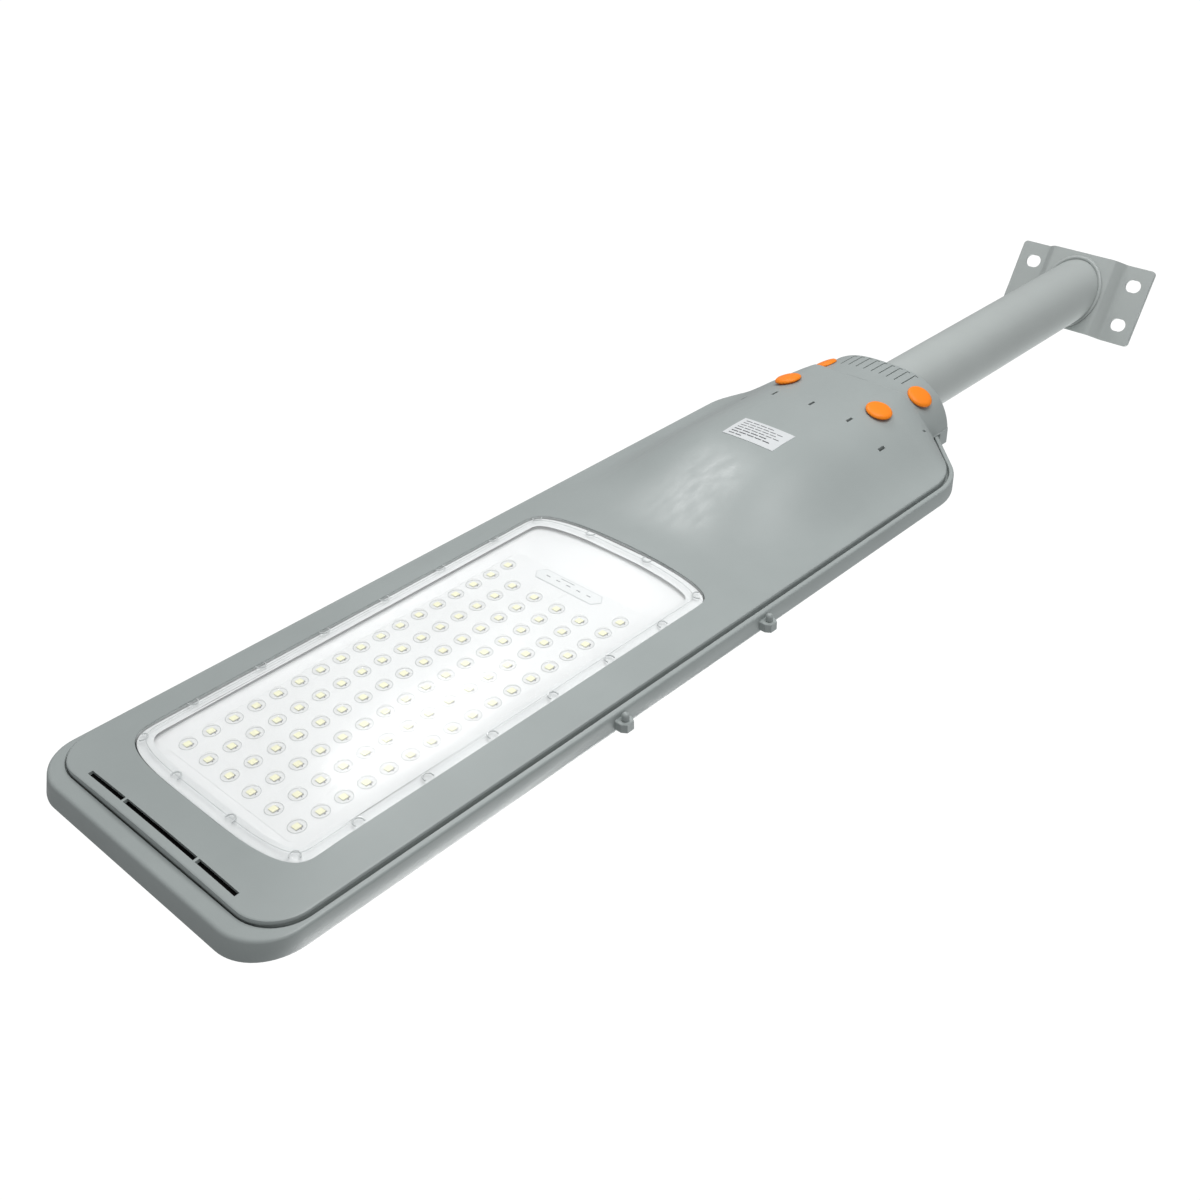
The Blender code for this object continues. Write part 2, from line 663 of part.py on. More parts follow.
def led_optics():
    build = bmesh.new()
    for x, y in led_places():
        place = Matrix.Translation((x, y, LED_Z - 2.6)) @ Matrix.Rotation(math.pi, 4, "X")
        bmesh.ops.create_cone(build, cap_ends=True, segments=6, radius1=6.0, radius2=3.6,
                              depth=4.4, matrix=place)
    domes = mesh_from(build)
    thing = add_object("led_optics", box((-66, -715.5, LED_Z - 0.5), (66, -401.5, LED_Z)),
                       CLEAR, HEAD, LAMP)
    boolean(thing, domes, "UNION", HEAD, "domes")


def lens_screw_spots():
    """Places of the twenty screws around the lens flange."""
    spots = [(side * 88.6, -681.6 + 55.2 * k) for side in (-1, 1) for k in range(6)]
    spots += [(side * 82.5, -724.5) for side in (-1, 1)]
    spots += [(side * 29.5, -733.0) for side in (-1, 1)]
    spots += [(side * 83.8, -361.6) for side in (-1, 1)]
    spots += [(side * 29.3, -356.2) for side in (-1, 1)]
    return spots


def lens_screws():
    for number, (x, y) in enumerate(lens_screw_spots(), 1):
        seat = COVER_EDGE_Z - cover_depth(x, y) + LENS_WALL
        profile = [(0, 4.6), (2.6, 4.6), (2.6, 3.8), (1.4, 3.8), (1.4, 0), (0, 0)]
        spun(f"lens_screw_{number:02d}", [(r, z + 1.2) for r, z in profile], 8, STEEL, HEAD,
             LAMP, (x, y, seat))


# ---------------------------------------------------------------- battery and controller

def battery():
    for row in range(3):
        for side, word in ((-1, "left"), (1, "right")):
            start = side * 3.0
            end = side * (3.0 + CELL_LENGTH)
            cell = rod(CELL_RADIUS, min(start, end), max(start, end), 20, "X",
                       (FIRST_CELL_Y + row * CELL_PITCH, CELL_Z))
            add_object(f"battery_cell_{row + 1}_{word}", round_off(cell), CELL_WRAP, HEAD, LAMP)
    near = FIRST_CELL_Y - STRAP_MARGIN
    far = FIRST_CELL_Y + 2 * CELL_PITCH + STRAP_MARGIN
    add_object("battery_cradle", box((-74, near + GAP, CELL_Z + CELL_RADIUS + GAP),
                                     (74, far - GAP, RECESS_Z - FLOOR - GAP)), BLACK, HEAD, LAMP)
    low = CELL_Z - CELL_RADIUS - GAP
    for side, word in ((-1, "left"), (1, "right")):
        top = RECESS_Z - FLOOR - GAP
        band = [(near - 1, top), (near - 1, low - 1.2), (far + 1, low - 1.2), (far + 1, top),
                (far, top), (far, low), (near, low), (near, top)]
        add_object(f"battery_strap_{word}",
                   prism(band, side * 38 - 6, side * 38 + 6, "X"), STEEL, HEAD, LAMP)


def controller():
    top = RECESS_Z - FLOOR - GAP
    thing = add_object("controller_case", box((-55, -307, -2), (55, -262, top)), BLACK, HEAD,
                       LAMP)
    boolean(thing, box((-52.5, -304.5, -8), (52.5, -264.5, top - 2.5)), "DIFFERENCE", HEAD,
            "case_room")
    add_object("controller_board", box((-51.5, -303.5, 2.0), (51.5, -265.5, 3.6)), BOARD, HEAD,
               LAMP)


# ---------------------------------------------------------------- arm clamp

def clamp_spots():
    """Name, x and y of the four clamp screws, each under its plug."""
    for row, (x, y, _) in PLUGS.items():
        for side, word in ((-1, "left"), (1, "right")):
            yield f"{row}_{word}", side * x, y


def clamp():
    ring = SOCKET_RADIUS + 0.4
    saddle = [(ring * math.cos(math.radians(a)), -ring * math.sin(math.radians(a)))
              for a in range(15, 166, 10)]
    back = [((ring + 3) * math.cos(math.radians(a)), -(ring + 3) * math.sin(math.radians(a)))
            for a in range(165, 14, -10)]
    saddle_mesh = prism(saddle + back, -95, -12, "Y")
    thing = add_object("clamp_saddle", round_off(saddle_mesh), STEEL, HEAD, LAMP)
    for side in (-1, 1):
        ear = box((side * 44 - 11.5, -95, EAR_Z), (side * 44 + 11.5, -12, EAR_Z + 3.5))
        boolean(thing, ear, "UNION", HEAD, f"ear_{side}")
    profile = [(0, SCREW_LENGTH), (2.9, SCREW_LENGTH), (2.9, 0), (5.0, 0), (5.0, -4.0),
               (0, -4.0)]
    for name, x, y in clamp_spots():
        hole = rod(3.3, -30, 0, 12, "Z", (x, y))
        boolean(thing, hole, "DIFFERENCE", HEAD, f"ear_hole_{name}")
        spun(f"clamp_screw_{name}", profile, 12, STEEL, HEAD, LAMP, (x, y, EAR_Z - GAP))


def rating_label():
    outer, inner = [], []
    for y in (-201.0, -185.5, -170.0):
        rows = []
        for step in range(-4, 5):
            x = step * 6.5
            rows.append((x, y, COVER_EDGE_Z - cover_depth(x, y) - GAP))
        outer.append([(x, y, z - 0.3) for x, y, z in rows])
        inner.append(rows)
    add_object("rating_label", loft_solid(outer, inner), LABEL, HEAD, LAMP)


wall_plate()
arm_tube()
weld_bead()
socket_sleeve()
back_shell()
front_cover()
plug_caps()
side_pins()
solar_panel()
lens_cover()
lens_gasket()
reflector_tray()
light_board()
led_optics()
lens_screws()
battery()
controller()
clamp()
rating_label()
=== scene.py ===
"""Looks of the solar street lamp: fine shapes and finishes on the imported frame.

The head's pieces are drawn in millimetres from the point where the arm enters its
neck: y runs towards the wall, z up, and the light looks down (-z).  The wall plate's
are drawn in millimetres from the centre of its back face, y into the wall.
"""

from math import asin, atan2, copysign, cos, degrees, pi, radians, sin, sqrt, tan

import bmesh
import bpy
from mathutils import Matrix, Vector


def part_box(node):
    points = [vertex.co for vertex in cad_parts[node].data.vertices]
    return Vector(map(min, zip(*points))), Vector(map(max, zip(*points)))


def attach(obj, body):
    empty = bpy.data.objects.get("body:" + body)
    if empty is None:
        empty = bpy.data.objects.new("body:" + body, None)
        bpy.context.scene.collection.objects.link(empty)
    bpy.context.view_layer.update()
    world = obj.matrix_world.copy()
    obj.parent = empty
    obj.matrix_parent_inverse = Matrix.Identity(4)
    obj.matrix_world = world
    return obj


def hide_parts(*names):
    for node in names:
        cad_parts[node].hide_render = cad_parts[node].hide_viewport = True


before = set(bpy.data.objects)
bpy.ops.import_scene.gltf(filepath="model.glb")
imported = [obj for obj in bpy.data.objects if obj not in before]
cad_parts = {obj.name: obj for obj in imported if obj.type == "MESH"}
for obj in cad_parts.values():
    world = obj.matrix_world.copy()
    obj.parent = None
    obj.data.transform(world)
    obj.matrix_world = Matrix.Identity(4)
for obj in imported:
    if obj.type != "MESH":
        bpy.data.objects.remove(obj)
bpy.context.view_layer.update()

MM = 0.001
GAP = 0.3                        # clearance between pieces that touch

PLATE_TILT = radians(30)
NECK_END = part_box("front_cover")[1].y
AXIS_Z = (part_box("socket_sleeve")[0].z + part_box("socket_sleeve")[1].z) / 2
HEAD = Matrix.Translation((0, NECK_END, AXIS_Z)) @ Matrix.Scale(MM, 4)
WALL = Matrix.Rotation(PLATE_TILT, 4, "X") @ Matrix.Scale(MM, 4)
FLIP = Matrix.Rotation(pi, 4, "X")

# The same driving dimensions as the frame's
ARM_RADIUS = 30.0
ARM_WALL = 2.0
PLATE_WIDTH = 150.0
PLATE_HEIGHT = 80.0
PLATE_THICKNESS = 3.0
PLATE_RISE = 12.0
PLATE_STEP_IN = 33.0
PLATE_STEP_OUT = 43.5
PLATE_CORNER = 4.0
PLATE_BEND = 2.5
PLATE_HOLE_X = 57.5
PLATE_HOLE_Z = 20.7
PLATE_HOLE_RADIUS = 6.5
PLATE_HOLE_SHIFT = 1.75          # half of a slotted hole's straight run

HEAD_LENGTH = 788.0
HEAD_HALF_WIDTH = 125.6
HEAD_CORNER = 36.0
LEDGE_Z = 4.4
BACK_Z = 19.8
SHOULDER_Y = -98.0
SHOULDER_RADIUS = 62.0
SHOULDER_X = HEAD_HALF_WIDTH - SHOULDER_RADIUS
SHELL_END = -5.7

COVER_END = 772.6
COVER_HALF_WIDTH = 119.3
COVER_CORNER = 30.0
COVER_WALL = 2.5
COVER_EDGE_Z = 1.7
COVER_FOOT = LEDGE_Z - GAP
COVER_INSET = HEAD_HALF_WIDTH - COVER_HALF_WIDTH
BULGE_FOOT = 112.0
BULGE_RISE = 29.0
BULGE_END = -44.0
NECK_HALF_WIDTH = 69.6
NECK_DEPTH = 49.5                # of the D-shaped section, from NECK_TOP above the edge
NECK_TOP = 8.0
NECK_FOOT_Z = 17.1
SKIRT_START = -13.2

LED_ROWS = 6
LED_COLUMNS = 16
LED_PITCH_X = 23.5
LED_PITCH_Y = 18.0
FIRST_LED_Y = -706.0
LED_Z = 1.7
BOARD_FACE = LED_Z - 0.5         # lit face of the board

LENS_HALF_WIDTH = 91.3
LENS_FAR = -739.0
LENS_NEAR = -351.5
LENS_FAR_ROOT = -711.0
LENS_NEAR_ROOT = -378.0
LENS_FAR_POWER = 3.2
LENS_NEAR_POWER = 5.0
LENS_RIM = 9.1
LENS_WALL = 2.0
LENS_GROOVE = 0.8
SIDE_GROOVE = 0.4
SEAT_INSET = 4.8                 # of the reflector's edge under the lens flange
SCREW_SIDE_X = 88.6              # the screws along the two long sides
SCREW_PITCH = 55.2

PANEL_HALF_WIDTH = 112.0
PANEL_FAR = -774.0
PANEL_NEAR = -136.0
PANEL_CORNER = 12.0
RECESS_Z = 15.0

HUMP_RADIUS = 36.0
SOCKET_RADIUS = 32.8
SLEEVE_RADIUS = 32.2

PLUG_STANDOFF = 0.9
PLUG_HOLE_RADIUS = 9.1
PLUGS = {"front": (47.9, -82.4, radians(16)), "rear": (50.6, -23.6, radians(29))}

LUG_SIDE = -1
LUG_STATIONS = {"far": -490.5, "near": -335.5}
LUG_TOP = 9.5
LUG_FOOT = 17.2
PIN_X = 130.5

END_SLOTS = ((-80.5, -40.5), (-38.5, 38.5), (40.5, 80.5))
VENT_PLACES = (-73.0, -39.3, 0.0, 39.3, 73.0)
SHOULDER_VENT_X = 78.0
GROOVE_PITCH = 8.1
STRIP_Y = -409.0                 # centre of the printed strip on the board


# ---------------------------------------------------------------- finishes

class Nodes:
    """A few short calls for building one material's node tree."""

    def __init__(self, name):
        self.material = bpy.data.materials.new(name)
        self.material.use_nodes = True
        self.tree = self.material.node_tree
        self.shader = self.tree.nodes["Principled BSDF"]
        self.place = self.tree.nodes.new("ShaderNodeTexCoord").outputs["Object"]

    def link(self, source, target):
        self.tree.links.new(source, target)

    def stretched(self, scale):
        mapping = self.tree.nodes.new("ShaderNodeMapping")
        mapping.inputs["Scale"].default_value = scale
        self.link(self.place, mapping.inputs["Vector"])
        return mapping.outputs["Vector"]

    def noise(self, scale, detail=3.0, vector=None):
        texture = self.tree.nodes.new("ShaderNodeTexNoise")
        texture.inputs["Scale"].default_value = scale
        texture.inputs["Detail"].default_value = detail
        self.link(vector or self.place, texture.inputs["Vector"])
        return texture.outputs["Fac"]

    def ramp(self, source, stops):
        ramp = self.tree.nodes.new("ShaderNodeValToRGB")
        marks = ramp.color_ramp.elements
        marks[0].position, marks[1].position = stops[0][0], stops[-1][0]
        for position, _ in stops[1:-1]:
            marks.new(position)
        for mark, (_, colour) in zip(marks, stops):
            mark.color = (*colour, 1.0)
        self.link(source, ramp.inputs["Fac"])
        return ramp.outputs["Color"]

    def span(self, source, low, high):
        spread = self.tree.nodes.new("ShaderNodeMapRange")
        spread.inputs["From Min"].default_value = 0.3
        spread.inputs["From Max"].default_value = 0.7
        spread.inputs["To Min"].default_value = low
        spread.inputs["To Max"].default_value = high
        self.link(source, spread.inputs["Value"])
        return spread.outputs["Result"]

    def bump(self, layers):
        """Stacked bumps: each layer is a height, its strength and its depth in metres."""
        normal = None
        for height, strength, depth in layers:
            node = self.tree.nodes.new("ShaderNodeBump")
            node.inputs["Strength"].default_value = strength
            node.inputs["Distance"].default_value = depth
            self.link(height, node.inputs["Height"])
            if normal is not None:
                self.link(normal, node.inputs["Normal"])
            normal = node.outputs["Normal"]
        self.link(normal, self.shader.inputs["Normal"])

    def set(self, **values):
        for name, value in values.items():
            self.shader.inputs[name.replace("_", " ")].default_value = value


def shade(colour, factor):
    return tuple(min(1.0, part * factor) for part in colour)


def moulded(name, colour, rough, grain, depth, spread=0.06, **sockets):
    """Moulded or painted skin: drifting tone, fine grain and uneven gloss."""
    made = Nodes(name)
    drift = made.noise(14.0, 4.0)
    tone = made.ramp(drift, [(0.3, shade(colour, 1 - spread)), (0.7, shade(colour, 1 + spread))])
    made.link(tone, made.shader.inputs["Base Color"])
    fine = made.noise(grain, 2.0)
    scuffs = made.noise(grain / 12, 6.0, made.stretched((1.0, 0.35, 1.0)))
    made.link(made.span(scuffs, rough - 0.05, rough + 0.07), made.shader.inputs["Roughness"])
    made.bump([(fine, 0.5, depth), (drift, 0.04, depth * 4)])
    made.set(**sockets)
    return made.material


def brushed(name, colour, rough, across):
    """Bare metal with fine scratches along one axis."""
    made = Nodes(name)
    streaks = made.noise(900.0, 3.0, made.stretched(across))
    tone = made.ramp(streaks, [(0.3, shade(colour, 0.88)), (0.7, shade(colour, 1.05))])
    made.link(tone, made.shader.inputs["Base Color"])
    made.link(made.span(streaks, rough - 0.08, rough + 0.1), made.shader.inputs["Roughness"])
    made.bump([(streaks, 0.25, 0.00003)])
    made.set(Metallic=1.0)
    return made.material


def silicon():
    """Dark blue cells with thin silver fingers across them."""
    made = Nodes("silicon_cells")
    wave = made.tree.nodes.new("ShaderNodeTexWave")
    wave.bands_direction = "Y"
    wave.inputs["Scale"].default_value = 130.0
    made.link(made.place, wave.inputs["Vector"])
    cloud = made.noise(30.0, 3.0)
    base = made.ramp(cloud, [(0.3, (0.004, 0.008, 0.032)), (0.7, (0.010, 0.018, 0.060))])
    fingers = made.ramp(wave.outputs["Fac"], [(0.90, (0, 0, 0)), (0.97, (1, 1, 1))])
    mix = made.tree.nodes.new("ShaderNodeMix")
    mix.data_type = "RGBA"
    mix.inputs["B"].default_value = (0.10, 0.12, 0.17, 1.0)
    made.link(fingers, mix.inputs["Factor"])
    made.link(base, mix.inputs["A"])
    made.link(mix.outputs["Result"], made.shader.inputs["Base Color"])
    made.link(made.span(cloud, 0.22, 0.34), made.shader.inputs["Roughness"])
    made.bump([(wave.outputs["Fac"], 0.2, 0.00002)])
    return made.material


GREY = (0.335, 0.368, 0.362)
SHELL = moulded("shell_plastic", GREY, 0.36, 1500.0, 0.00006, 0.03, Specular_IOR_Level=0.45)
PAINT = moulded("arm_paint", (0.42, 0.45, 0.44), 0.42, 900.0, 0.00008, 0.03,
                Specular_IOR_Level=0.45)
WELD = moulded("weld_paint", (0.40, 0.43, 0.42), 0.42, 600.0, 0.00015, 0.05)
ORANGE = moulded("plug_orange", (1.0, 0.25, 0.008), 0.4, 1200.0, 0.00004, 0.03,
                 Specular_IOR_Level=0.3)
LENS = moulded("lens_clear", (0.95, 0.965, 0.965), 0.16, 500.0, 0.00003, 0.02, Alpha=0.15,
               Coat_Weight=0.4, Coat_Roughness=0.08)
# grey and partly opaque: painted shade that draws the clear lens's ribs and lip as lines
LENS_EDGE_SHADE = moulded("lens_edge_shade", (0.70, 0.73, 0.73), 0.2, 500.0, 0.00003, 0.05, Alpha=0.75,
                    Coat_Weight=0.3)
DOME = moulded("optic_clear", (0.97, 0.98, 0.98), 0.08, 400.0, 0.00002, 0.02, Alpha=0.13,
               Coat_Weight=0.6, Coat_Roughness=0.05)
# grey, part clear: painted shade that outlines the clear domes
DOME_EDGE_SHADE = moulded("optic_edge_shade", (0.72, 0.75, 0.76), 0.3, 400.0, 0.00002, 0.04, Alpha=0.5)
# pale grey sheet behind the lens flange: partly the seal's tone, partly painted shade under the
# flange; also the board strip's paper
SEAL_SHADE_AND_PAPER = moulded("lens_seal_and_shade", (0.87, 0.89, 0.89), 0.5, 400.0, 0.00004, 0.04)
# pale yellow phosphor with a faint emission: a painted glow that brightens the chips
CHIP = moulded("led_phosphor_painted_glow", (1.0, 0.96, 0.55), 0.5, 2500.0, 0.00003, 0.05,
               Emission_Color=(1.0, 0.95, 0.6, 1.0), Emission_Strength=0.15)
CHIP_FRAME = moulded("led_frame", (0.90, 0.91, 0.90), 0.4, 2500.0, 0.00003, 0.05)
WHITE = moulded("reflector_white", (0.925, 0.935, 0.935), 0.32, 900.0, 0.00004, 0.015)
INK = moulded("generic_ink", (0.10, 0.10, 0.11), 0.6, 3000.0, 0.00002, 0.15)
PALE_INK = moulded("pale_ink", (0.22, 0.23, 0.24), 0.6, 3000.0, 0.00002, 0.1)
LABEL = moulded("label_film", (0.64, 0.66, 0.67), 0.5, 2000.0, 0.00002, 0.02)
BLACK = moulded("black_plastic", (0.012, 0.013, 0.014), 0.5, 1000.0, 0.00005, 0.15)
# near-black and dull: painted shade inside the vents and the far slots
VENT_SHADE = moulded("painted_vent_shade", (0.004, 0.004, 0.004), 0.9, 700.0, 0.0002, 0.3,
               Specular_IOR_Level=0.1)
RUBBER = moulded("black_rubber", (0.012, 0.012, 0.012), 0.75, 800.0, 0.00008, 0.2)
SEALANT = moulded("panel_sealant", (0.02, 0.021, 0.022), 0.55, 300.0, 0.0002, 0.2)
BACKSHEET = moulded("panel_backsheet", (0.55, 0.57, 0.59), 0.5, 900.0, 0.00003, 0.03)
GLASS = moulded("panel_glass", (0.03, 0.04, 0.06), 0.07, 250.0, 0.00001, 0.1, Alpha=0.14,
                Coat_Weight=1.0, Coat_Roughness=0.04)
STEEL = brushed("zinc_steel", (0.62, 0.62, 0.60), 0.34, (1.0, 0.05, 1.0))
ALUMINIUM = brushed("aluminium_plate", (0.72, 0.73, 0.74), 0.36, (1.0, 0.04, 1.0))
RIBBON = brushed("tinned_ribbon", (0.75, 0.75, 0.76), 0.3, (1.0, 0.04, 1.0))
WRAP = moulded("battery_wrap", (0.03, 0.16, 0.42), 0.4, 400.0, 0.00004, 0.08)
BOARD = moulded("circuit_board", (0.01, 0.12, 0.05), 0.4, 1800.0, 0.00004, 0.12)
SILICON = silicon()


# ---------------------------------------------------------------- the head's shape

def smooth(value, start, end):
    """Smooth ramp from 0 at start to 1 at end."""
    t = min(1.0, max(0.0, (value - start) / (end - start)))
    return t * t * (3 - 2 * t)


def shoulder_half_width(y, inset):
    """Half width past the shoulder: a 45 degree turn, then a straight run."""
    radius = SHOULDER_RADIUS - inset
    turn = radius * sqrt(0.5)
    along = y - SHOULDER_Y
    if along < turn:
        return SHOULDER_X + sqrt(radius ** 2 - along ** 2)
    return SHOULDER_X + 2 * turn - along


def cover_half_width(y):
    """Half width of the cover's outline at y."""
    far = -COVER_END
    if y < far + COVER_CORNER:
        rise = min(COVER_CORNER, far + COVER_CORNER - y)
        return COVER_HALF_WIDTH - COVER_CORNER + sqrt(COVER_CORNER ** 2 - rise ** 2)
    if y > SHOULDER_Y:
        return shoulder_half_width(y, COVER_INSET)
    return COVER_HALF_WIDTH


def crown(y):
    """Depth of the cover's gentle crown along the centre line."""
    return 3.0 + 9.5 * smooth(y, -775.0, -690.0) + 1.0 * smooth(y, -665.0, -355.0)


def cover_depth(x, y):
    """Depth of the cover's outer face below its edge at x, y."""
    foot = min(BULGE_FOOT, cover_half_width(y))
    soft = smooth(abs(x), 10.0, foot) ** 2
    firm = min(1.0, max(0.0, (abs(x) - 45.0) / (foot - 45.0))) ** 1.3
    blend = smooth(y, -90.0, -50.0)
    bulge = 1 - soft - (firm - soft) * blend
    rise = BULGE_RISE * smooth(y, -331.0, -186.0) - 2.0 * smooth(y, -82.0, 0.0)
    across = 1 - min(1.0, abs(x) / COVER_HALF_WIDTH) ** 2
    return crown(y) * (across + (bulge - across) * blend) + rise * bulge


def cover_z(x, y):
    return COVER_EDGE_Z - cover_depth(x, y)


def neck_z(x):
    ratio = min(1.0, abs(x) / NECK_HALF_WIDTH)
    return COVER_EDGE_Z + NECK_TOP - NECK_DEPTH * sqrt(1 - ratio ** 3)


def head_outline(inset, along_cover=False):
    """The head's plan outline, drawn in by inset; its far end may keep to the cover's."""
    width = HEAD_HALF_WIDTH - inset
    radius = HEAD_CORNER - inset
    far = inset - HEAD_LENGTH
    if along_cover:
        radius = COVER_CORNER + COVER_INSET - inset
        far = inset - COVER_INSET - COVER_END
    half = [(width - radius + radius * sin(a), far + radius - radius * cos(a))
            for a in sweep(0, 90, 16)]
    half += [(width, y) for y in (-600.0, -450.0, -300.0)]
    turn = SHOULDER_RADIUS - inset
    half += [(SHOULDER_X + turn * cos(a), SHOULDER_Y + turn * sin(a))
             for a in sweep(0, 45, 12)]
    end_x = NECK_HALF_WIDTH - COVER_WALL - GAP - inset
    half.append((end_x, half[-1][1] + half[-1][0] - end_x))
    half.append((end_x, SHELL_END - inset))
    return half + [(-x, y) for x, y in reversed(half)]


def lens_outline(inset, steps=20, side_inset=None):
    """The lens flange's outline: a bowed far end and a squarer near end."""
    width = LENS_HALF_WIDTH - (inset if side_inset is None else side_inset)
    half = []
    for tip, root, power in ((LENS_FAR + inset, LENS_FAR_ROOT, LENS_FAR_POWER),
                             (LENS_NEAR - inset, LENS_NEAR_ROOT, LENS_NEAR_POWER)):
        side = [(width * sin(a) ** (2 / power),
                 root + (tip - root) * cos(a) ** (2 / power))
                for a in sweep(0, 90, steps)]
        half += side if tip < root else list(reversed(side))
    half = [point for point in half if point[0] > 1.0]
    return half + [(-x, y) for x, y in reversed(half)]


def rounded_outline(half_width, far, near, radius, steps=8):
    """A rectangle with round corners, as x, y points."""
    points = []
    for cx, cy, turn in ((half_width - radius, near - radius, 0),
                         (radius - half_width, near - radius, 90),
                         (radius - half_width, far + radius, 180),
                         (half_width - radius, far + radius, 270)):
        points += [(cx + radius * cos(a), cy + radius * sin(a))
                   for a in sweep(turn, turn + 90, steps)]
    return points


def sweep(start, end, steps):
    """Angles in radians from start to end degrees."""
    return [radians(start + (end - start) * k / steps) for k in range(steps + 1)]


# ---------------------------------------------------------------- building helpers

def add_grid(build, rows, closed=False):
    """Rows of points joined by quads, as a sheet or, when closed, as a tube."""
    made = [[build.verts.new(point) for point in row] for row in rows]
    for low, high in zip(made, made[1:]):
        for k in range(len(low) if closed else len(low) - 1):
            m = (k + 1) % len(low)
            build.faces.new((low[k], low[m], high[m], high[k]))
    return made


def add_tube(build, rows):
    """A closed body from a row of rings, with flat ends."""
    made = add_grid(build, rows, closed=True)
    build.faces.new(list(reversed(made[0])))
    build.faces.new(made[-1])


def add_shell(build, outer, inner):
    """A closed wall between two matching grids of points."""
    grids = [add_grid(build, outer), add_grid(build, inner)]
    rows, columns = len(outer), len(outer[0])
    border = [(0, j) for j in range(columns)]
    border += [(i, columns - 1) for i in range(1, rows)]
    border += [(rows - 1, j) for j in range(columns - 2, -1, -1)]
    border += [(i, 0) for i in range(rows - 2, 0, -1)]
    for (i, j), (k, m) in zip(border, border[1:] + border[:1]):
        build.faces.new((grids[0][i][j], grids[0][k][m], grids[1][k][m], grids[1][i][j]))


def add_prism(build, outline, low, high, axis="Z"):
    """A flat outline pushed from low to high along an axis."""
    place = {"Z": lambda a, b, c: (a, b, c), "Y": lambda a, b, c: (a, c, b),
             "X": lambda a, b, c: (c, a, b)}[axis]
    add_tube(build, [[place(a, b, level) for a, b in outline] for level in (low, high)])


def add_box(build, low, high):
    add_prism(build, [(low[0], low[1]), (high[0], low[1]), (high[0], high[1]), (low[0], high[1])],
              low[2], high[2])


def add_turned(build, profile, sides, place=Matrix.Identity(4)):
    """A turned body from an r, z profile that starts and ends on its own Z axis."""
    rows = [[place @ Vector((r * cos(a), r * sin(a), z))
             for a in sweep(0, 360 - 360 / sides, sides - 1)] for r, z in profile[1:-1]]
    made = add_grid(build, rows, closed=True)
    for ring, z in ((made[0], profile[0][1]), (made[-1], profile[-1][1])):
        tip = build.verts.new(place @ Vector((0, 0, z)))
        for k in range(sides):
            build.faces.new((ring[k], ring[(k + 1) % sides], tip))


def add_bead(build, path, radius, sides=8, closed=True):
    """A round bead along a path of points."""
    rows = []
    count = len(path)
    for k, point in enumerate(path):
        before = path[k - 1] if closed or k else point
        after = path[(k + 1) % count] if closed or k < count - 1 else point
        along = (Vector(after) - Vector(before)).normalized()
        side = along.cross(Vector((0, 0, 1)))
        if side.length < 0.01:
            side = along.cross(Vector((0, 1, 0)))
        side.normalize()
        up = side.cross(along)
        rows.append([Vector(point) + radius * (cos(a) * side + sin(a) * up)
                     for a in sweep(0, 360 - 360 / sides, sides - 1)])
    if closed:
        add_grid(build, rows + rows[:1], closed=True)
    else:
        add_tube(build, rows)


def mesh_from(build, place):
    bmesh.ops.remove_doubles(build, verts=build.verts, dist=0.0005)
    bmesh.ops.dissolve_degenerate(build, edges=build.edges, dist=0.0005)
    bmesh.ops.recalc_face_normals(build, faces=build.faces)
    bmesh.ops.transform(build, matrix=place, verts=build.verts)
    mesh = bpy.data.meshes.new("shape")
    build.to_mesh(mesh)
    build.free()
    return mesh


def loose_object(name, mesh):
    thing = bpy.data.objects.new(name, mesh)
    bpy.context.scene.collection.objects.link(thing)
    return thing


def carve(mesh, changes, place):
    """The mesh after exact booleans: each change is an operation and a tool's bmesh."""
    thing = loose_object("blank", mesh)
    tools = []
    for operation, build in changes:
        tool = loose_object("tool", mesh_from(build, place))
        step = thing.modifiers.new(operation, "BOOLEAN")
        step.operation = operation
        step.solver = "EXACT"
        step.object = tool
        tools.append(tool)
    bpy.context.view_layer.update()
    graph = bpy.context.evaluated_depsgraph_get()
    made = bpy.data.meshes.new_from_object(thing.evaluated_get(graph))
    for spare in [thing] + tools:
        bpy.data.objects.remove(spare)
    return made


def piece(name, mesh, finish, body, replaces=(), sharp=32):
    """A visible piece: its mesh, finish, the body that it rides on and what it replaces."""
    thing = loose_object(name, mesh)
    mesh.materials.clear()
    mesh.materials.append(finish)
    mesh.shade_smooth()
    mesh.set_sharp_from_angle(angle=radians(sharp))
    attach(thing, body)
    if replaces:
        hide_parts(*replaces)
    return thing


# ---------------------------------------------------------------- wall plate and arm

def eased(past):
    """Distance past a bend's corner, easing in over the bend."""
    if abs(past) < PLATE_BEND:
        return (past + PLATE_BEND) ** 2 / (4 * PLATE_BEND)
    return max(0.0, past)


def plate_lift(x):
    """How far the plate's back face stands off the wall at x."""
    grade = PLATE_RISE / (PLATE_STEP_OUT - PLATE_STEP_IN)
    return PLATE_RISE - grade * (eased(abs(x) - PLATE_STEP_IN) - eased(abs(x) - PLATE_STEP_OUT))


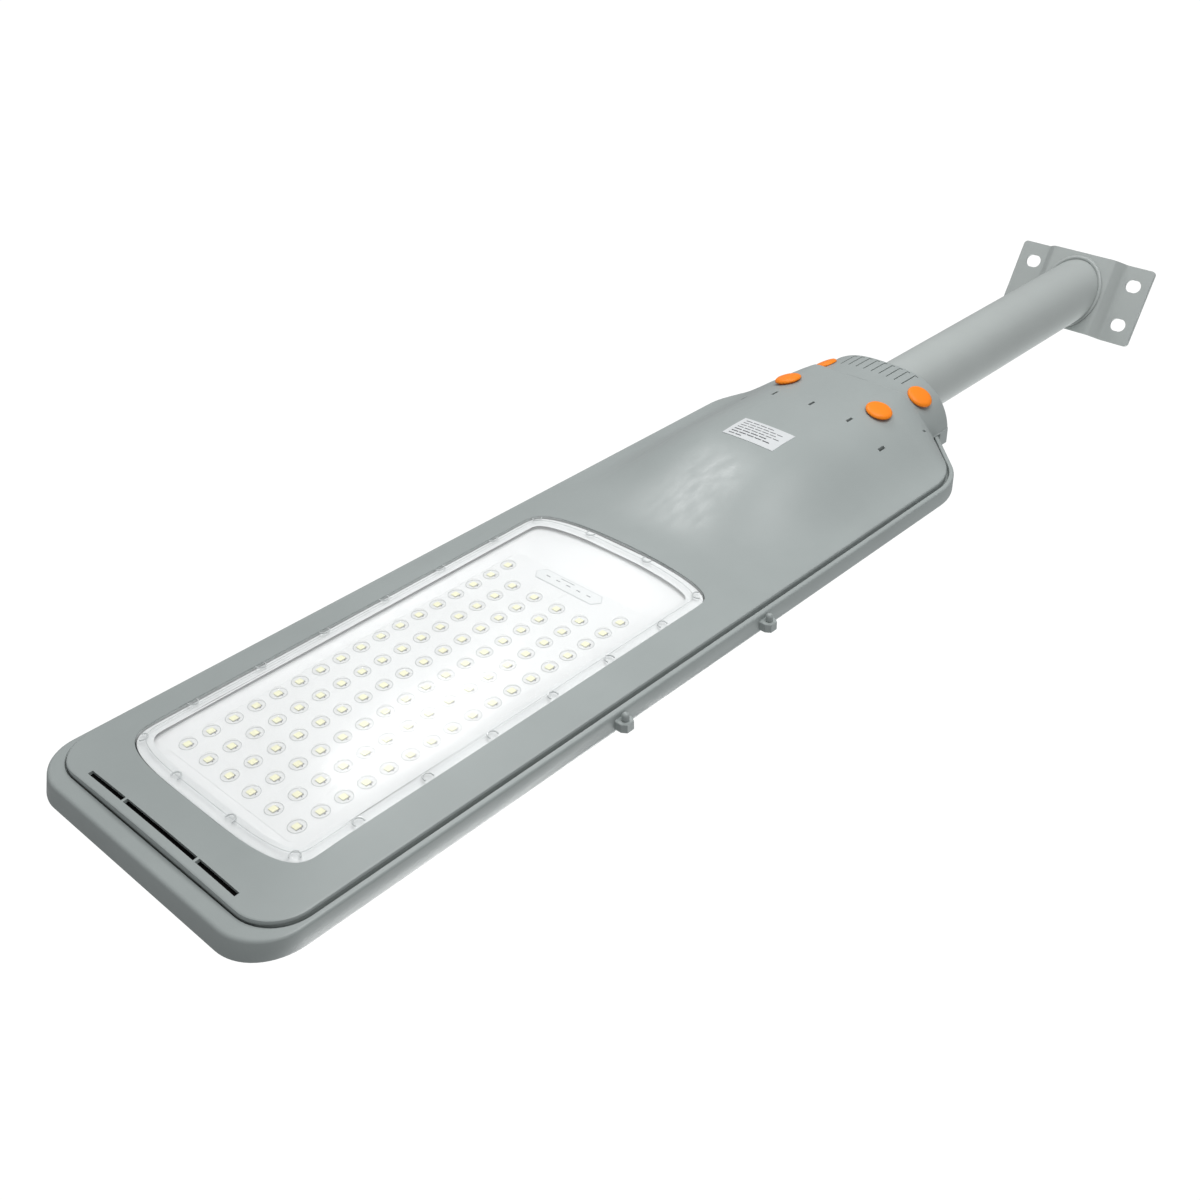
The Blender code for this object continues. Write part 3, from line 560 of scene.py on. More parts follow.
def wall_plate():
    stations = [PLATE_WIDTH / 2 - PLATE_CORNER * (1 - sin(a)) for a in sweep(90, 0, 6)]
    stations += [60.0, 50.0] + [46.0 - 0.8 * k for k in range(20)] + [24.0, 12.0, 0.0]
    stations += [-x for x in reversed(stations[:-1])]
    outer, inner = [], []
    for x in stations:
        past = max(0.0, abs(x) - (PLATE_WIDTH / 2 - PLATE_CORNER))
        half = PLATE_HEIGHT / 2 - PLATE_CORNER + sqrt(max(0.0, PLATE_CORNER ** 2 - past ** 2))
        lift = plate_lift(x)
        slope = (plate_lift(abs(x) + 0.2) - plate_lift(abs(x) - 0.2)) / 0.4
        reach = PLATE_THICKNESS * sqrt(1 + slope ** 2)
        levels = [half * k / 6 for k in range(-6, 7)]
        outer.append([(x, -lift, z) for z in levels])
        inner.append([(x, -lift - reach, z) for z in levels])
    build = bmesh.new()
    add_shell(build, outer, inner)
    slots = bmesh.new()
    for side in (-1, 1):
        for level in (-1, 1):
            ring = []
            for a in sweep(0, 348.75, 31):
                shift = PLATE_HOLE_SHIFT if cos(a) > 0 else -PLATE_HOLE_SHIFT
                ring.append((side * PLATE_HOLE_X + shift + PLATE_HOLE_RADIUS * cos(a),
                             level * PLATE_HOLE_Z + PLATE_HOLE_RADIUS * sin(a)))
            add_prism(slots, ring, -10, 10, "Y")
    mesh = carve(mesh_from(build, WALL), [("DIFFERENCE", slots)], WALL)
    thing = piece("bent_plate", mesh, PAINT, "root", ["wall_plate"])
    edge = thing.modifiers.new("Edges", "BEVEL")
    edge.width = 0.0005
    edge.segments = 2
    edge.limit_method = "ANGLE"
    edge.angle_limit = radians(50)


def arm_tube():
    """A tube cut to the tilt of the plate."""
    face = -(PLATE_RISE + PLATE_THICKNESS + GAP) * MM
    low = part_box("arm_tube")[0].y
    rows = []
    angles = sweep(0, 357.5, 143)
    for radius, inside in ((ARM_RADIUS, False), (ARM_RADIUS - ARM_WALL, True)):
        wide = radius * MM
        ends = [[(wide * cos(a), (face - (AXIS_Z + wide * sin(a)) * sin(PLATE_TILT))
                  / cos(PLATE_TILT), AXIS_Z + wide * sin(a)) for a in angles],
                [(wide * cos(a), low, AXIS_Z + wide * sin(a)) for a in angles]]
        rows += list(reversed(ends)) if inside else ends
    build = bmesh.new()
    add_grid(build, rows + rows[:1], closed=True)
    bmesh.ops.scale(build, vec=(1000, 1000, 1000), verts=build.verts)
    piece("painted_tube", mesh_from(build, Matrix.Scale(MM, 4)), PAINT, "root",
          ["arm_tube"])


def weld_bead():
    """A rippled bead around the foot of the tube."""
    face = -(PLATE_RISE + PLATE_THICKNESS)
    centre = -(face + PLATE_RISE) * tan(PLATE_TILT)
    build = bmesh.new()
    rows = []
    count = 180
    for k in range(count):
        a = 2 * pi * k / count
        ripple = 1.9 + 0.18 * abs(sin(30 * a))
        reach = ARM_RADIUS + 1.1
        row = []
        for b in sweep(0, 315, 7):
            out = reach + ripple * cos(b)
            row.append((out * cos(a), face - 1.2 + 0.9 * ripple * sin(b),
                        centre + out * sin(a) / cos(PLATE_TILT)))
        rows.append(row)
    add_grid(build, rows + rows[:1], closed=True)
    piece("weld_ring", mesh_from(build, WALL), WELD, "root", ["weld_bead"], 60)


def socket_sleeve():
    low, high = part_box("socket_sleeve")
    start = (low.y - NECK_END) / MM
    end = (high.y - NECK_END) / MM
    profile = [(ARM_RADIUS + 0.5, start), (SLEEVE_RADIUS, start), (SLEEVE_RADIUS, end - 0.5),
               (SLEEVE_RADIUS - 0.5, end), (ARM_RADIUS + 0.5, end)]
    build = bmesh.new()
    rows = [[(r * cos(a), y, r * sin(a)) for a in sweep(0, 355, 71)] for r, y in profile]
    add_grid(build, rows + rows[:1], closed=True)
    piece("rubber_sleeve", mesh_from(build, HEAD), RUBBER, "sleeve",
          ["socket_sleeve"])


# ---------------------------------------------------------------- front cover

RIB_STEPS = 56
# inset and rise of the cover's rounded edge, from its foot
COVER_RIM = [(0.0, 2.4), (0.0, 1.2), (0.4, 0.35), (1.3, 0.0)]


def cover_stations():
    """Where ribs of the cover start on its outline: half width, y, outward normal."""
    for a in sweep(0, 90, 12):
        yield (COVER_HALF_WIDTH - COVER_CORNER * (1 - sin(a)),
               -COVER_END + COVER_CORNER * (1 - cos(a)), sin(a), -cos(a))
    y = -COVER_END + COVER_CORNER
    while y < SHOULDER_Y - 10:
        y += 7.0
        yield COVER_HALF_WIDTH, y, 1.0, 0.0
    radius = SHOULDER_RADIUS - COVER_INSET
    for a in sweep(0, 45, 12):
        yield SHOULDER_X + radius * cos(a), SHOULDER_Y + radius * sin(a), cos(a), sin(a)
    y = SHOULDER_Y + radius * sqrt(0.5)
    for step in range(1, 5):
        along = y + (BULGE_END - y) * step / 4
        yield shoulder_half_width(along, COVER_INSET), along, sqrt(0.5), sqrt(0.5)


def cover_rib(half, y, nx, ny):
    """One row of points across the cover, from foot to foot."""
    edge = []
    for level, (inset, rise) in enumerate(COVER_RIM):
        x = half - nx * inset
        along = max(y - ny * inset, -COVER_END)
        z = COVER_FOOT if level == 0 else cover_z(x, along) + rise
        edge.append((x, along, min(z, COVER_FOOT)))
    x_in, y_in, _ = edge[-1]
    inner = []
    for a in sweep(-90, 90, RIB_STEPS)[1:-1]:
        x = x_in * sin(a)
        inner.append((x, y_in, cover_z(x, y_in)))
    return [(-x, along, z) for x, along, z in edge] + inner + edge[::-1]


def cover_end_rows():
    """The upright far end wall, row by row from its foot."""
    first = next(cover_stations())
    rib = cover_rib(*first)
    count = len(COVER_RIM)
    rows = []
    for level in range(count - 1):
        row = []
        for k, point in enumerate(rib):
            side = min(k, len(rib) - 1 - k)
            index = min(side, level) if side < count else level
            step_in, step_up = COVER_RIM[index]
            surface = cover_z(point[0], -COVER_END + step_in)
            z = COVER_FOOT if index == 0 else min(COVER_FOOT, surface + step_up)
            row.append((point[0], -COVER_END + step_in, z))
        rows.append(row)
    return rows


def neck_row(y, inset, foot):
    """The D-shaped section of the neck with as many points as a rib."""
    width = NECK_HALF_WIDTH - inset
    count = RIB_STEPS - 1 + 2 * len(COVER_RIM)
    sides = 3
    arch = count - 2 * sides
    row = []
    for k in range(arch):
        ratio = sin(radians(-90 + 180 * k / (arch - 1)))
        depth = NECK_DEPTH * sqrt(max(0.0, 1 - abs(ratio) ** 3)) - NECK_TOP - inset
        row.append((ratio * width, y, COVER_EDGE_Z - max(depth, -1.5)))
    low = row[0][2]
    left = [(-width, y, foot + (low - foot) * k / sides) for k in range(sides)]
    return left + row + [(-x, along, z) for x, along, z in reversed(left)]


def towards(start, goal, distance):
    """A row of points moved a set distance towards another row."""
    moved = []
    for a, b in zip(start, goal):
        gap = Vector(b) - Vector(a)
        flat = Vector((gap.x, 0.0, gap.z))
        share = min(1.0, distance / max(flat.length, 0.001))
        moved.append(tuple(Vector(a) + flat * share))
    return moved


def at_y(row, y):
    """The same row of points, moved flat onto y."""
    return [(x, y, z) for x, _, z in row]


def cover_rows():
    """Rows of the cover's outer face, far end first."""
    rows = cover_end_rows()
    ribs = [cover_rib(*station) for station in cover_stations()]
    rows += ribs[:-1]
    last = ribs[-1]
    neck = neck_row(BULGE_END, 0.0, COVER_FOOT)
    rows.append(at_y(last, BULGE_END - 1.6))
    rows.append(at_y(towards(last, neck, 0.25), BULGE_END - 0.8))
    rows.append(at_y(towards(last, neck, 0.8), BULGE_END - 0.2))
    rows.append(at_y(towards(last, neck, 1.8), BULGE_END))
    rows.append(at_y(towards(neck, last, 1.0), BULGE_END))
    rows.append(at_y(towards(neck, last, 0.3), BULGE_END + 0.3))
    rows += [neck_row(y, 0.0, COVER_FOOT) for y in (BULGE_END + 1.2, -30.0, -18.0, SKIRT_START)]
    ease = ((SKIRT_START + 0.3, 0.0), (-2.0, 0.0), (-1.0, 0.15), (-0.3, 0.6), (0.0, 1.3))
    return rows + [neck_row(y, inset, NECK_FOOT_Z) for y, inset in ease]


def cover_lining(rows):
    """The inner face of the cover, one wall thickness in."""
    inner = []
    for row in rows:
        mid = row[len(row) // 2][1]
        back = COVER_WALL * smooth(mid, -60.0, -46.0) * (1 - smooth(mid, -42.0, -20.0))
        half = max(x for x, _, _ in row)
        squeeze = (half - COVER_WALL) / half
        foot = row[0][2]
        far = -COVER_END + COVER_WALL
        inner.append([(x * squeeze, max(along - back, far), min(z + COVER_WALL, foot))
                      for x, along, z in row])
    return inner


def add_groove(build, x):
    """A grip groove cut along the top of the neck, with a short hook at its end."""
    floor = neck_z(x) + 2.1
    outline = [(x - 0.55, -25.0), (x + 0.55, -25.0), (x + 0.55, -3.2), (x - 3.0, -3.2),
               (x - 3.0, -4.3), (x - 0.55, -4.3)]
    add_prism(build, outline, floor - 6, floor)


def cover_openings():
    """The far slots, the vents and the grip grooves, as one cutter."""
    build = bmesh.new()
    for low, high in END_SLOTS:
        add_box(build, (low, -766.3, -30), (high, -762.7, 20))
    for place in VENT_PLACES:
        add_box(build, (place - 1.2, -117, -60), (place + 1.2, -109, 0))
    for place in (-SHOULDER_VENT_X, SHOULDER_VENT_X):
        add_box(build, (place - 0.8, -58.0, -60), (place + 0.8, -54.0, 0))
    for step in range(-4, 5):
        add_groove(build, GROOVE_PITCH * step)
    return build


def plug_seats():
    build = bmesh.new()
    drill = [(0, 12), (PLUG_HOLE_RADIUS, 12), (PLUG_HOLE_RADIUS, -12), (0, -12)]
    for _, seat in plug_places():
        add_turned(build, drill, 40, seat)
    return build


def plug_places():
    """Name and seat of the four plugs; a seat's z runs into the cover."""
    for row, (x, y, lean) in PLUGS.items():
        for side, word in ((-1, "left"), (1, "right")):
            z = cover_z(x, y) - PLUG_STANDOFF if row == "front" else neck_z(x)
            seat = Matrix.Translation((side * x, y, z))
            yield f"{row}_{word}", seat @ Matrix.Rotation(-side * lean, 4, "Y")


def front_cover():
    build = bmesh.new()
    rows = cover_rows()
    add_shell(build, rows, cover_lining(rows))
    window = bmesh.new()
    add_prism(window, lens_outline(-LENS_GROOVE, 20, -SIDE_GROOVE), -40, 10)
    mesh = carve(mesh_from(build, HEAD), [("DIFFERENCE", window), ("DIFFERENCE", cover_openings()),
                                          ("DIFFERENCE", plug_seats())], HEAD)
    piece("cover_skin", mesh, SHELL, "head", ["front_cover"], 34)


def add_patch(build, low, high, lift, thick, rows=3):
    """A thin plate that follows the cover's face at a lift outside it."""
    steps = max(2, int((high[0] - low[0]) / 3))
    outer, inner = [], []
    for k in range(rows):
        y = low[1] + (high[1] - low[1]) * k / (rows - 1)
        row = [low[0] + (high[0] - low[0]) * m / steps for m in range(steps + 1)]
        outer.append([(x, y, cover_z(x, y) - lift - thick) for x in row])
        inner.append([(x, y, cover_z(x, y) - lift) for x in row])
    add_shell(build, outer, inner)


def vent_shade_patches():
    """Near-black patches behind the vents and the far slots: painted shade inside the openings."""
    build = bmesh.new()
    lift = -COVER_WALL - 2.0
    add_patch(build, (-78.0, -119.5), (78.0, -106.5), lift, 1.2)
    for place in (-SHOULDER_VENT_X, SHOULDER_VENT_X):
        add_patch(build, (place - 4.0, -61.0), (place + 4.0, -51.5), lift, 1.2)
    add_box(build, (-82.0, -768.0, 2.7), (82.0, -761.0, 4.2))
    piece("vent_shade_patches", mesh_from(build, HEAD), VENT_SHADE, "head")


def plug_caps():
    profile = [(0, 4.0), (3.0, 3.95), (6.0, 3.75), (8.6, 3.4), (10.0, 3.0), (10.9, 2.4),
               (11.3, 1.9), (11.6, 1.6), (11.7, 1.2), (11.7, 0.5), (11.4, 0.35), (8.6, 0.35),
               (8.6, -4.6), (8.2, -5.0), (0, -5.0)]
    for name, seat in plug_places():
        build = bmesh.new()
        add_turned(build, profile, 72, seat @ FLIP)
        piece(f"cap_{name}", mesh_from(build, HEAD), ORANGE, f"plug_{name}",
              [f"plug_cap_{name}"], 40)


# ---------------------------------------------------------------- back shell

# inset and z of each ring of the shell, from the room outwards, and whether its far end
# keeps to the cover's outline
SHELL_RIM = [(3.0, 12.5, False), (3.0, 10.2, False), (12.0, 10.2, True), (12.0, LEDGE_Z, True),
             (6.4, LEDGE_Z, True), (6.4, 9.0, True), (4.2, 9.0, True), (4.1, 4.9, True),
             (3.7, LEDGE_Z, True), (2.6, LEDGE_Z, False), (1.6, 4.5, False), (0.8, 4.9, False),
             (0.2, 5.6, False), (0.0, 6.6, False), (0.0, 18.2, False), (0.25, 19.1, False),
             (0.9, 19.6, False), (2.0, BACK_Z, False), (8.0, BACK_Z, False)]


def slanted(point, z):
    """The far end leans out towards the back."""
    x, y = point
    lean = (z - 12.0) / 7.8 * 2.2 * smooth(-y, HEAD_LENGTH - HEAD_CORNER, HEAD_LENGTH)
    return x, y - lean, z


def lug(station, shrink):
    """A side lug's plan outline: a block with cut corners, drawn in by shrink."""
    block = [(118.0, -5.8), (131.5, -5.8), (135.2, -3.2), (135.2, 3.2), (131.5, 5.8), (118.0, 5.8)]
    return [(LUG_SIDE * (x - shrink), station + y * (1 - shrink / 5.8)) for x, y in block]


def back_shell():
    build = bmesh.new()
    rings = [[slanted(point, z) for point in head_outline(inset, along_cover)]
             for inset, z, along_cover in SHELL_RIM]
    add_tube(build, rings)
    hump = bmesh.new()
    rows = []
    spring = degrees(asin((LEDGE_Z + 2.5) / HUMP_RADIUS))
    for y, shrink in ((-118, 5.0), (-117.2, 3.0), (-115.4, 1.2), (-112, 0.0), (-9, 0.0),
                      (-7, 0.4), (-5.9, 1.4)):
        radius = HUMP_RADIUS - shrink
        rows.append([(radius * cos(a), y, radius * sin(a))
                     for a in sweep(spring, 180 - spring, 48)])
    add_tube(hump, rows)
    end_wall = bmesh.new()
    outline = [(x, z) for x, _, z in neck_row(0.0, COVER_WALL + GAP, BACK_Z - 1)]
    add_prism(end_wall, outline[1:-1], -10, -6, "Y")
    lugs = bmesh.new()
    for station in LUG_STATIONS.values():
        levels = [(LUG_TOP, 0.5), (LUG_TOP + 0.5, 0.0), (LUG_FOOT - 0.7, 0.0), (LUG_FOOT, 0.7)]
        add_tube(lugs, [[(x, y, z) for x, y in lug(station, shrink)] for z, shrink in levels])
    recess = bmesh.new()
    add_prism(recess, rounded_outline(PANEL_HALF_WIDTH + 1, PANEL_FAR - 1, PANEL_NEAR + 1,
                                      PANEL_CORNER), RECESS_Z, BACK_Z + 5)
    bore = bmesh.new()
    rows = [[(SOCKET_RADIUS * cos(a), y, SOCKET_RADIUS * sin(a))
             for a in sweep(0, 356, 89)] for y in (-114, 5)]
    add_tube(bore, rows)
    neck_way = bmesh.new()
    add_box(neck_way, (4 - NECK_HALF_WIDTH, BULGE_END - 8, LEDGE_Z - 5),
            (NECK_HALF_WIDTH - 4, -12, 10))
    mesh = carve(mesh_from(build, HEAD), [("UNION", hump), ("UNION", end_wall), ("UNION", lugs),
                                          ("DIFFERENCE", recess), ("DIFFERENCE", bore),
                                          ("DIFFERENCE", neck_way)], HEAD)
    piece("back_housing", mesh, SHELL, "head", ["back_shell"], 34)


def side_pins():
    profile = [(0, 6.0), (0.9, 5.85), (1.7, 5.4), (2.3, 4.7), (2.65, 3.8), (2.7, 2.6), (2.7, 0.2),
               (2.5, 0.0), (0, 0)]
    for name, station in LUG_STATIONS.items():
        build = bmesh.new()
        seat = Matrix.Translation((LUG_SIDE * PIN_X, station, LUG_TOP - GAP))
        add_turned(build, profile, 40, seat @ FLIP)
        piece(f"pin_{name}", mesh_from(build, HEAD), SHELL, "head",
              [f"side_pin_{name}"])


# ---------------------------------------------------------------- solar panel

def panel():
    low = RECESS_Z + GAP
    outline = rounded_outline(PANEL_HALF_WIDTH, PANEL_FAR, PANEL_NEAR, PANEL_CORNER - 1)
    build = bmesh.new()
    add_prism(build, outline, low, low + 0.3)
    piece("backsheet", mesh_from(build, HEAD), BACKSHEET, "head", ["solar_cells"])
    columns, rows = 4, 12
    pitch_x, pitch_y = 53.0, 51.6
    half, cut = 25.4, 3.0
    middle = (PANEL_FAR + PANEL_NEAR) / 2
    cells, ribbons = bmesh.new(), bmesh.new()
    for column in range(columns):
        x = (column - (columns - 1) / 2) * pitch_x
        for row in range(rows):
            y = middle + (row - (rows - 1) / 2) * pitch_y
            short = half - cut
            tile = [(x + a, y + b) for a, b in
                    ((half, short), (short, half), (-short, half), (-half, short),
                     (-half, -short), (-short, -half), (short, -half), (half, -short))]
            add_prism(cells, tile, low + 0.3, low + 0.5)
        for offset in (-17.0, 0.0, 17.0):
            reach = rows * pitch_y / 2 - 1.0
            add_box(ribbons, (x + offset - 0.7, middle - reach, low + 0.5),
                    (x + offset + 0.7, middle + reach, low + 0.6))
    for side in (-1, 1):
        y = middle + side * (rows * pitch_y / 2 + 1.5)
        end = 1.5 * pitch_x + 18
        add_box(ribbons, (-end, y - 1.6, low + 0.3), (end, y + 1.6, low + 0.5))
    piece("cell_wafers", mesh_from(cells, HEAD), SILICON, "head")
    piece("cell_ribbons", mesh_from(ribbons, HEAD), RIBBON, "head")
    build = bmesh.new()
    top = BACK_Z - 0.3
    rings = []
    for inset, z in ((0.0, low + 1.1), (0.0, top - 0.8), (0.3, top - 0.25), (0.9, top)):
        outline = rounded_outline(PANEL_HALF_WIDTH - inset, PANEL_FAR + inset, PANEL_NEAR - inset,
                                  PANEL_CORNER - 1 - inset)
        rings.append([(x, y, z) for x, y in outline])
    add_tube(build, rings)
    piece("cover_glass", mesh_from(build, HEAD), GLASS, "head", ["panel_glass"])
    build = bmesh.new()
    seal = rounded_outline(PANEL_HALF_WIDTH + 0.5, PANEL_FAR - 0.5, PANEL_NEAR + 0.5,
                           PANEL_CORNER - 0.5, 10)
    add_bead(build, [(x, y, top - 0.2) for x, y in seal], 0.8)
    piece("panel_seal", mesh_from(build, HEAD), SEALANT, "head")


# ---------------------------------------------------------------- light unit

def lens_rows(inset, drop, raised, steps=14):
    """Grid rows of the lens, drawn in by inset, at a depth below the cover's face."""
    width = LENS_HALF_WIDTH - inset
    ends = [radians(6 + 84 * k / steps) for k in range(steps + 1)]
    far_power, near_power = 2 / LENS_FAR_POWER, 2 / LENS_NEAR_POWER
    stations = [(LENS_FAR_ROOT + (LENS_FAR + inset - LENS_FAR_ROOT) * cos(a) ** far_power,
                 width * sin(a) ** far_power) for a in ends]
    straight = LENS_NEAR_ROOT - LENS_FAR_ROOT
    stations += [(LENS_FAR_ROOT + straight * k / 16, width) for k in range(1, 16)]
    stations += [(LENS_NEAR_ROOT + (LENS_NEAR - inset - LENS_NEAR_ROOT) * cos(a) ** near_power,
                  width * sin(a) ** near_power) for a in reversed(ends)]
    rim = [1.0, 0.993, 0.98, 0.955, 0.93, 0.915, 0.905, 0.895, 0.885, 0.87, 0.84]
    inner = [0.7, 0.55, 0.4, 0.25, 0.12, 0.0]
    fractions = [-f for f in rim + inner] + list(reversed(rim + inner[:-1]))
    rows = []
    for y, half in stations:
        row = []
        for fraction in fractions:
            x = fraction * half
            inside = min(LENS_HALF_WIDTH - abs(x), y - LENS_FAR, LENS_NEAR - y)
            lift = raised * smooth(inside, LENS_RIM - 1.8, LENS_RIM + 0.8)
            edge = 0.5 * (1 - smooth(inside, 0.0, 1.2))
            z = cover_z(x, y) - lift + drop + edge * (drop == 0)
            row.append((x, y, z))
        rows.append(row)
    return rows


def lens():
    build = bmesh.new()
    add_shell(build, lens_rows(0, 0, 2.0), lens_rows(0, LENS_WALL, 2.0))
    piece("lens_pane", mesh_from(build, HEAD), LENS, "head", ["lens_cover"], 50)
    # the lip bead and the bosses take the grey edge finish: painted shade on clear plastic
    build = bmesh.new()
    path = [(x, y, cover_z(x, y) - 0.1) for x, y in lens_outline(6.6, 28)]
    add_bead(build, path, 0.22, 6)
    for x, y in screw_spots():
        add_boss(build, x, y)
    piece("lens_beads", mesh_from(build, HEAD), LENS_EDGE_SHADE, "head", sharp=60)
    # a pale grey sheet behind the flange: partly the seal, partly painted shade under the flange
    build = bmesh.new()
    rings = [[(x, y, cover_z(x, y) + LENS_WALL + drop) for x, y in lens_outline(inset, 28)]
             for inset, drop in ((0.4, 0.15), (11.4, 0.15), (11.4, 0.4), (0.4, 0.4))]
    add_grid(build, rings + rings[:1], closed=True)
    piece("lens_seal_and_shade", mesh_from(build, HEAD), SEAL_SHADE_AND_PAPER, "head")


def add_boss(build, x, y):
    """A U-shaped raised rib around a screw, open towards the lens's outer edge."""
    centre_y = (LENS_FAR + LENS_NEAR) / 2
    if abs(x) == SCREW_SIDE_X:
        heading = atan2(0, x)
    elif abs(x) < 40:
        heading = atan2(y - centre_y, 0)
    else:
        heading = atan2(copysign(0.7, y - centre_y), copysign(0.7, x))
    path = []
    for a in sweep(70, 290, 14):
        px = x + 3.6 * cos(heading + a)
        py = y + 3.6 * sin(heading + a)
        path.append((px, py, cover_z(px, py) - 0.3))
    add_bead(build, path, 0.55, 6, closed=False)


def screw_spots():
    """Places of the twenty screws around the lens flange."""
    spots = [(side * SCREW_SIDE_X, -681.6 + SCREW_PITCH * k) for side in (-1, 1) for k in range(6)]
    ends = ((82.5, -724.5), (29.5, -733.0), (83.8, -361.6), (29.3, -356.2))
    return spots + [(side * x, y) for x, y in ends for side in (-1, 1)]


def reflector():
    """The white tray around the light board, with its ramp towards the neck."""
    outer, inner = [], []
    for row in lens_rows(SEAT_INSET, 0, 0, 10):
        top = []
        for x, y, z in row:
            past = max((abs(x) - 68) / 12, (-718 - y) / 8, (y + 400) / 34)
            flange = z + LENS_WALL + 3.4
            level = LED_Z - 0.3
            top.append((x, y, level + (flange - level) * smooth(past, 0, 1)))
        outer.append(top)
        inner.append([(x, y, z + 1.4) for x, y, z in top])
    build = bmesh.new()
    add_shell(build, outer, inner)
    window = bmesh.new()
    add_prism(window, rounded_outline(66.5, -716, -401, 3.0), -30, 10)
    notches = bmesh.new()
    for x, y in screw_spots():
        if abs(x) < LENS_HALF_WIDTH - 5:
            add_turned(notches, [(0, 5), (3.2, 5), (3.2, -30), (0, -30)], 20,
                       Matrix.Translation((x, y, 0)))
    mesh = carve(mesh_from(build, HEAD), [("DIFFERENCE", window), ("DIFFERENCE", notches)], HEAD)
    piece("white_reflector", mesh, WHITE, "head", ["reflector_tray"], 50)


def led_places():
    """Centres of the LEDs; the two outer rows have one more."""
    for row in range(LED_ROWS):
        columns = LED_COLUMNS + (1 if row in (0, LED_ROWS - 1) else 0)
        for column in range(columns):
            yield (row - (LED_ROWS - 1) / 2) * LED_PITCH_X, FIRST_LED_Y + column * LED_PITCH_Y


def light_board():
    """Clear optic sheet with a dome over each chip, and the chips on a white board."""
    dome = [(0, 4.4)] + [(6.0 * sin(a), 0.5 + 3.9 * cos(a)) for a in sweep(15, 90, 6)]
    dome += [(6.0, -0.2), (0, -0.2)]
    sheet, chips, frames, dots, rings = [bmesh.new() for _ in range(5)]
    for x, y in led_places():
        add_turned(sheet, dome, 24, Matrix.Translation((x, y, BOARD_FACE)) @ FLIP)
        # a thin grey ring at each dome's foot: painted shade that draws the clear dome's outline
        add_bead(rings, [(x + 6.0 * cos(a), y + 6.0 * sin(a), LED_Z - 0.75)
                         for a in sweep(0, 345, 23)], 0.2, 4)
        add_prism(frames, rounded_outline_at(x, y, 2.9, 0.5), BOARD_FACE, LED_Z + 1.2)
        add_prism(chips, rounded_outline_at(x + 0.2, y - 0.2, 2.4, 0.5), LED_Z - 1.1, LED_Z - 0.4)
        add_turned(dots, [(0, 0.4), (0.45, 0.4), (0.45, 0), (0, 0)], 12,
                   Matrix.Translation((x - 3.6, y + 0.4, LED_Z - 0.7)) @ FLIP)
    piece("led_domes", mesh_from(sheet, HEAD), DOME, "head", ["led_optics"])
    piece("dome_shade_rings", mesh_from(rings, HEAD), DOME_EDGE_SHADE, "head")
    piece("led_chips", mesh_from(chips, HEAD), CHIP, "head")
    piece("led_frames", mesh_from(frames, HEAD), CHIP_FRAME, "head")
    piece("led_dots", mesh_from(dots, HEAD), BLACK, "head")
    build = bmesh.new()
    add_prism(build, rounded_outline(68.0, -717.5, -399.5, 4.0), BOARD_FACE, LED_Z - 0.35)
    piece("white_board", mesh_from(build, HEAD), WHITE, "head")


def rounded_outline_at(x, y, half, radius):
    return [(x + a, y + b) for a, b in rounded_outline(half, -half, half, radius, 3)]


def board_label():
    """A small printed strip on the board, with generic marks."""
    paper, border, marks = bmesh.new(), bmesh.new(), bmesh.new()
    low = LED_Z - 0.9
    strip = [(36.0, 0.0), (31.0, -6.0), (-26.0, -6.0), (-31.0, 0.0), (-26.0, 6.0), (31.0, 6.0)]
    add_prism(paper, [(x, y + STRIP_Y) for x, y in strip], low, low + 0.2)
    add_prism(border, [(x * 1.02, y * 1.12 + STRIP_Y) for x, y in strip], low + 0.1, low + 0.35)
    for k in range(5):
        add_box(marks, (k * 10.5 - 20, STRIP_Y - 0.3, low - 0.15),
                (k * 10.5 - 16, STRIP_Y + 0.5, low))
    add_box(marks, (0.0, STRIP_Y + 3.6, low - 0.15), (14.0, STRIP_Y + 4.1, low))
    piece("board_strip", mesh_from(paper, HEAD), SEAL_SHADE_AND_PAPER, "head")
    piece("board_strip_border", mesh_from(border, HEAD), LABEL, "head")
    piece("board_strip_marks", mesh_from(marks, HEAD), PALE_INK, "head")


def rating_label():
    """A white film on the bulge with generic printed lines."""
    paper, marks = bmesh.new(), bmesh.new()
    add_patch(paper, (-26.0, -201.0), (26.0, -170.0), 0.05, 0.3)
    lengths = (14, 40, 34, 44, 38, 42, 30)
    for line, length in enumerate(lengths):
        y = -198.0 + 3.9 * line
        words = max(2, length // 7)
        for word in range(words):
            start = 23.0 - (word + 1) * length / words
            add_patch(marks, (start, y), (start + length / words - 1.3, y + 0.95), 0.37, 0.04)
    piece("label_paper", mesh_from(paper, HEAD), LABEL, "head", ["rating_label"])
    piece("label_lines", mesh_from(marks, HEAD), INK, "head")


# ---------------------------------------------------------------- carried-over nodes

def finish_kept_nodes():
    """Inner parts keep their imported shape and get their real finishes."""
    kept = {"lens_gasket": RUBBER, "led_board": ALUMINIUM, "heat_sink": ALUMINIUM,
            "lens_screw": STEEL, "battery_cell": WRAP, "battery_cradle": BLACK,
            "battery_strap": STEEL, "controller_case": BLACK, "controller_board": BOARD,
            "clamp": STEEL, "panel_junction_box": BLACK}
    for name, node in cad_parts.items():
        for start, finish in kept.items():
            if name.startswith(start):
                node.data.materials.clear()
                node.data.materials.append(finish)


# ---------------------------------------------------------------- surroundings

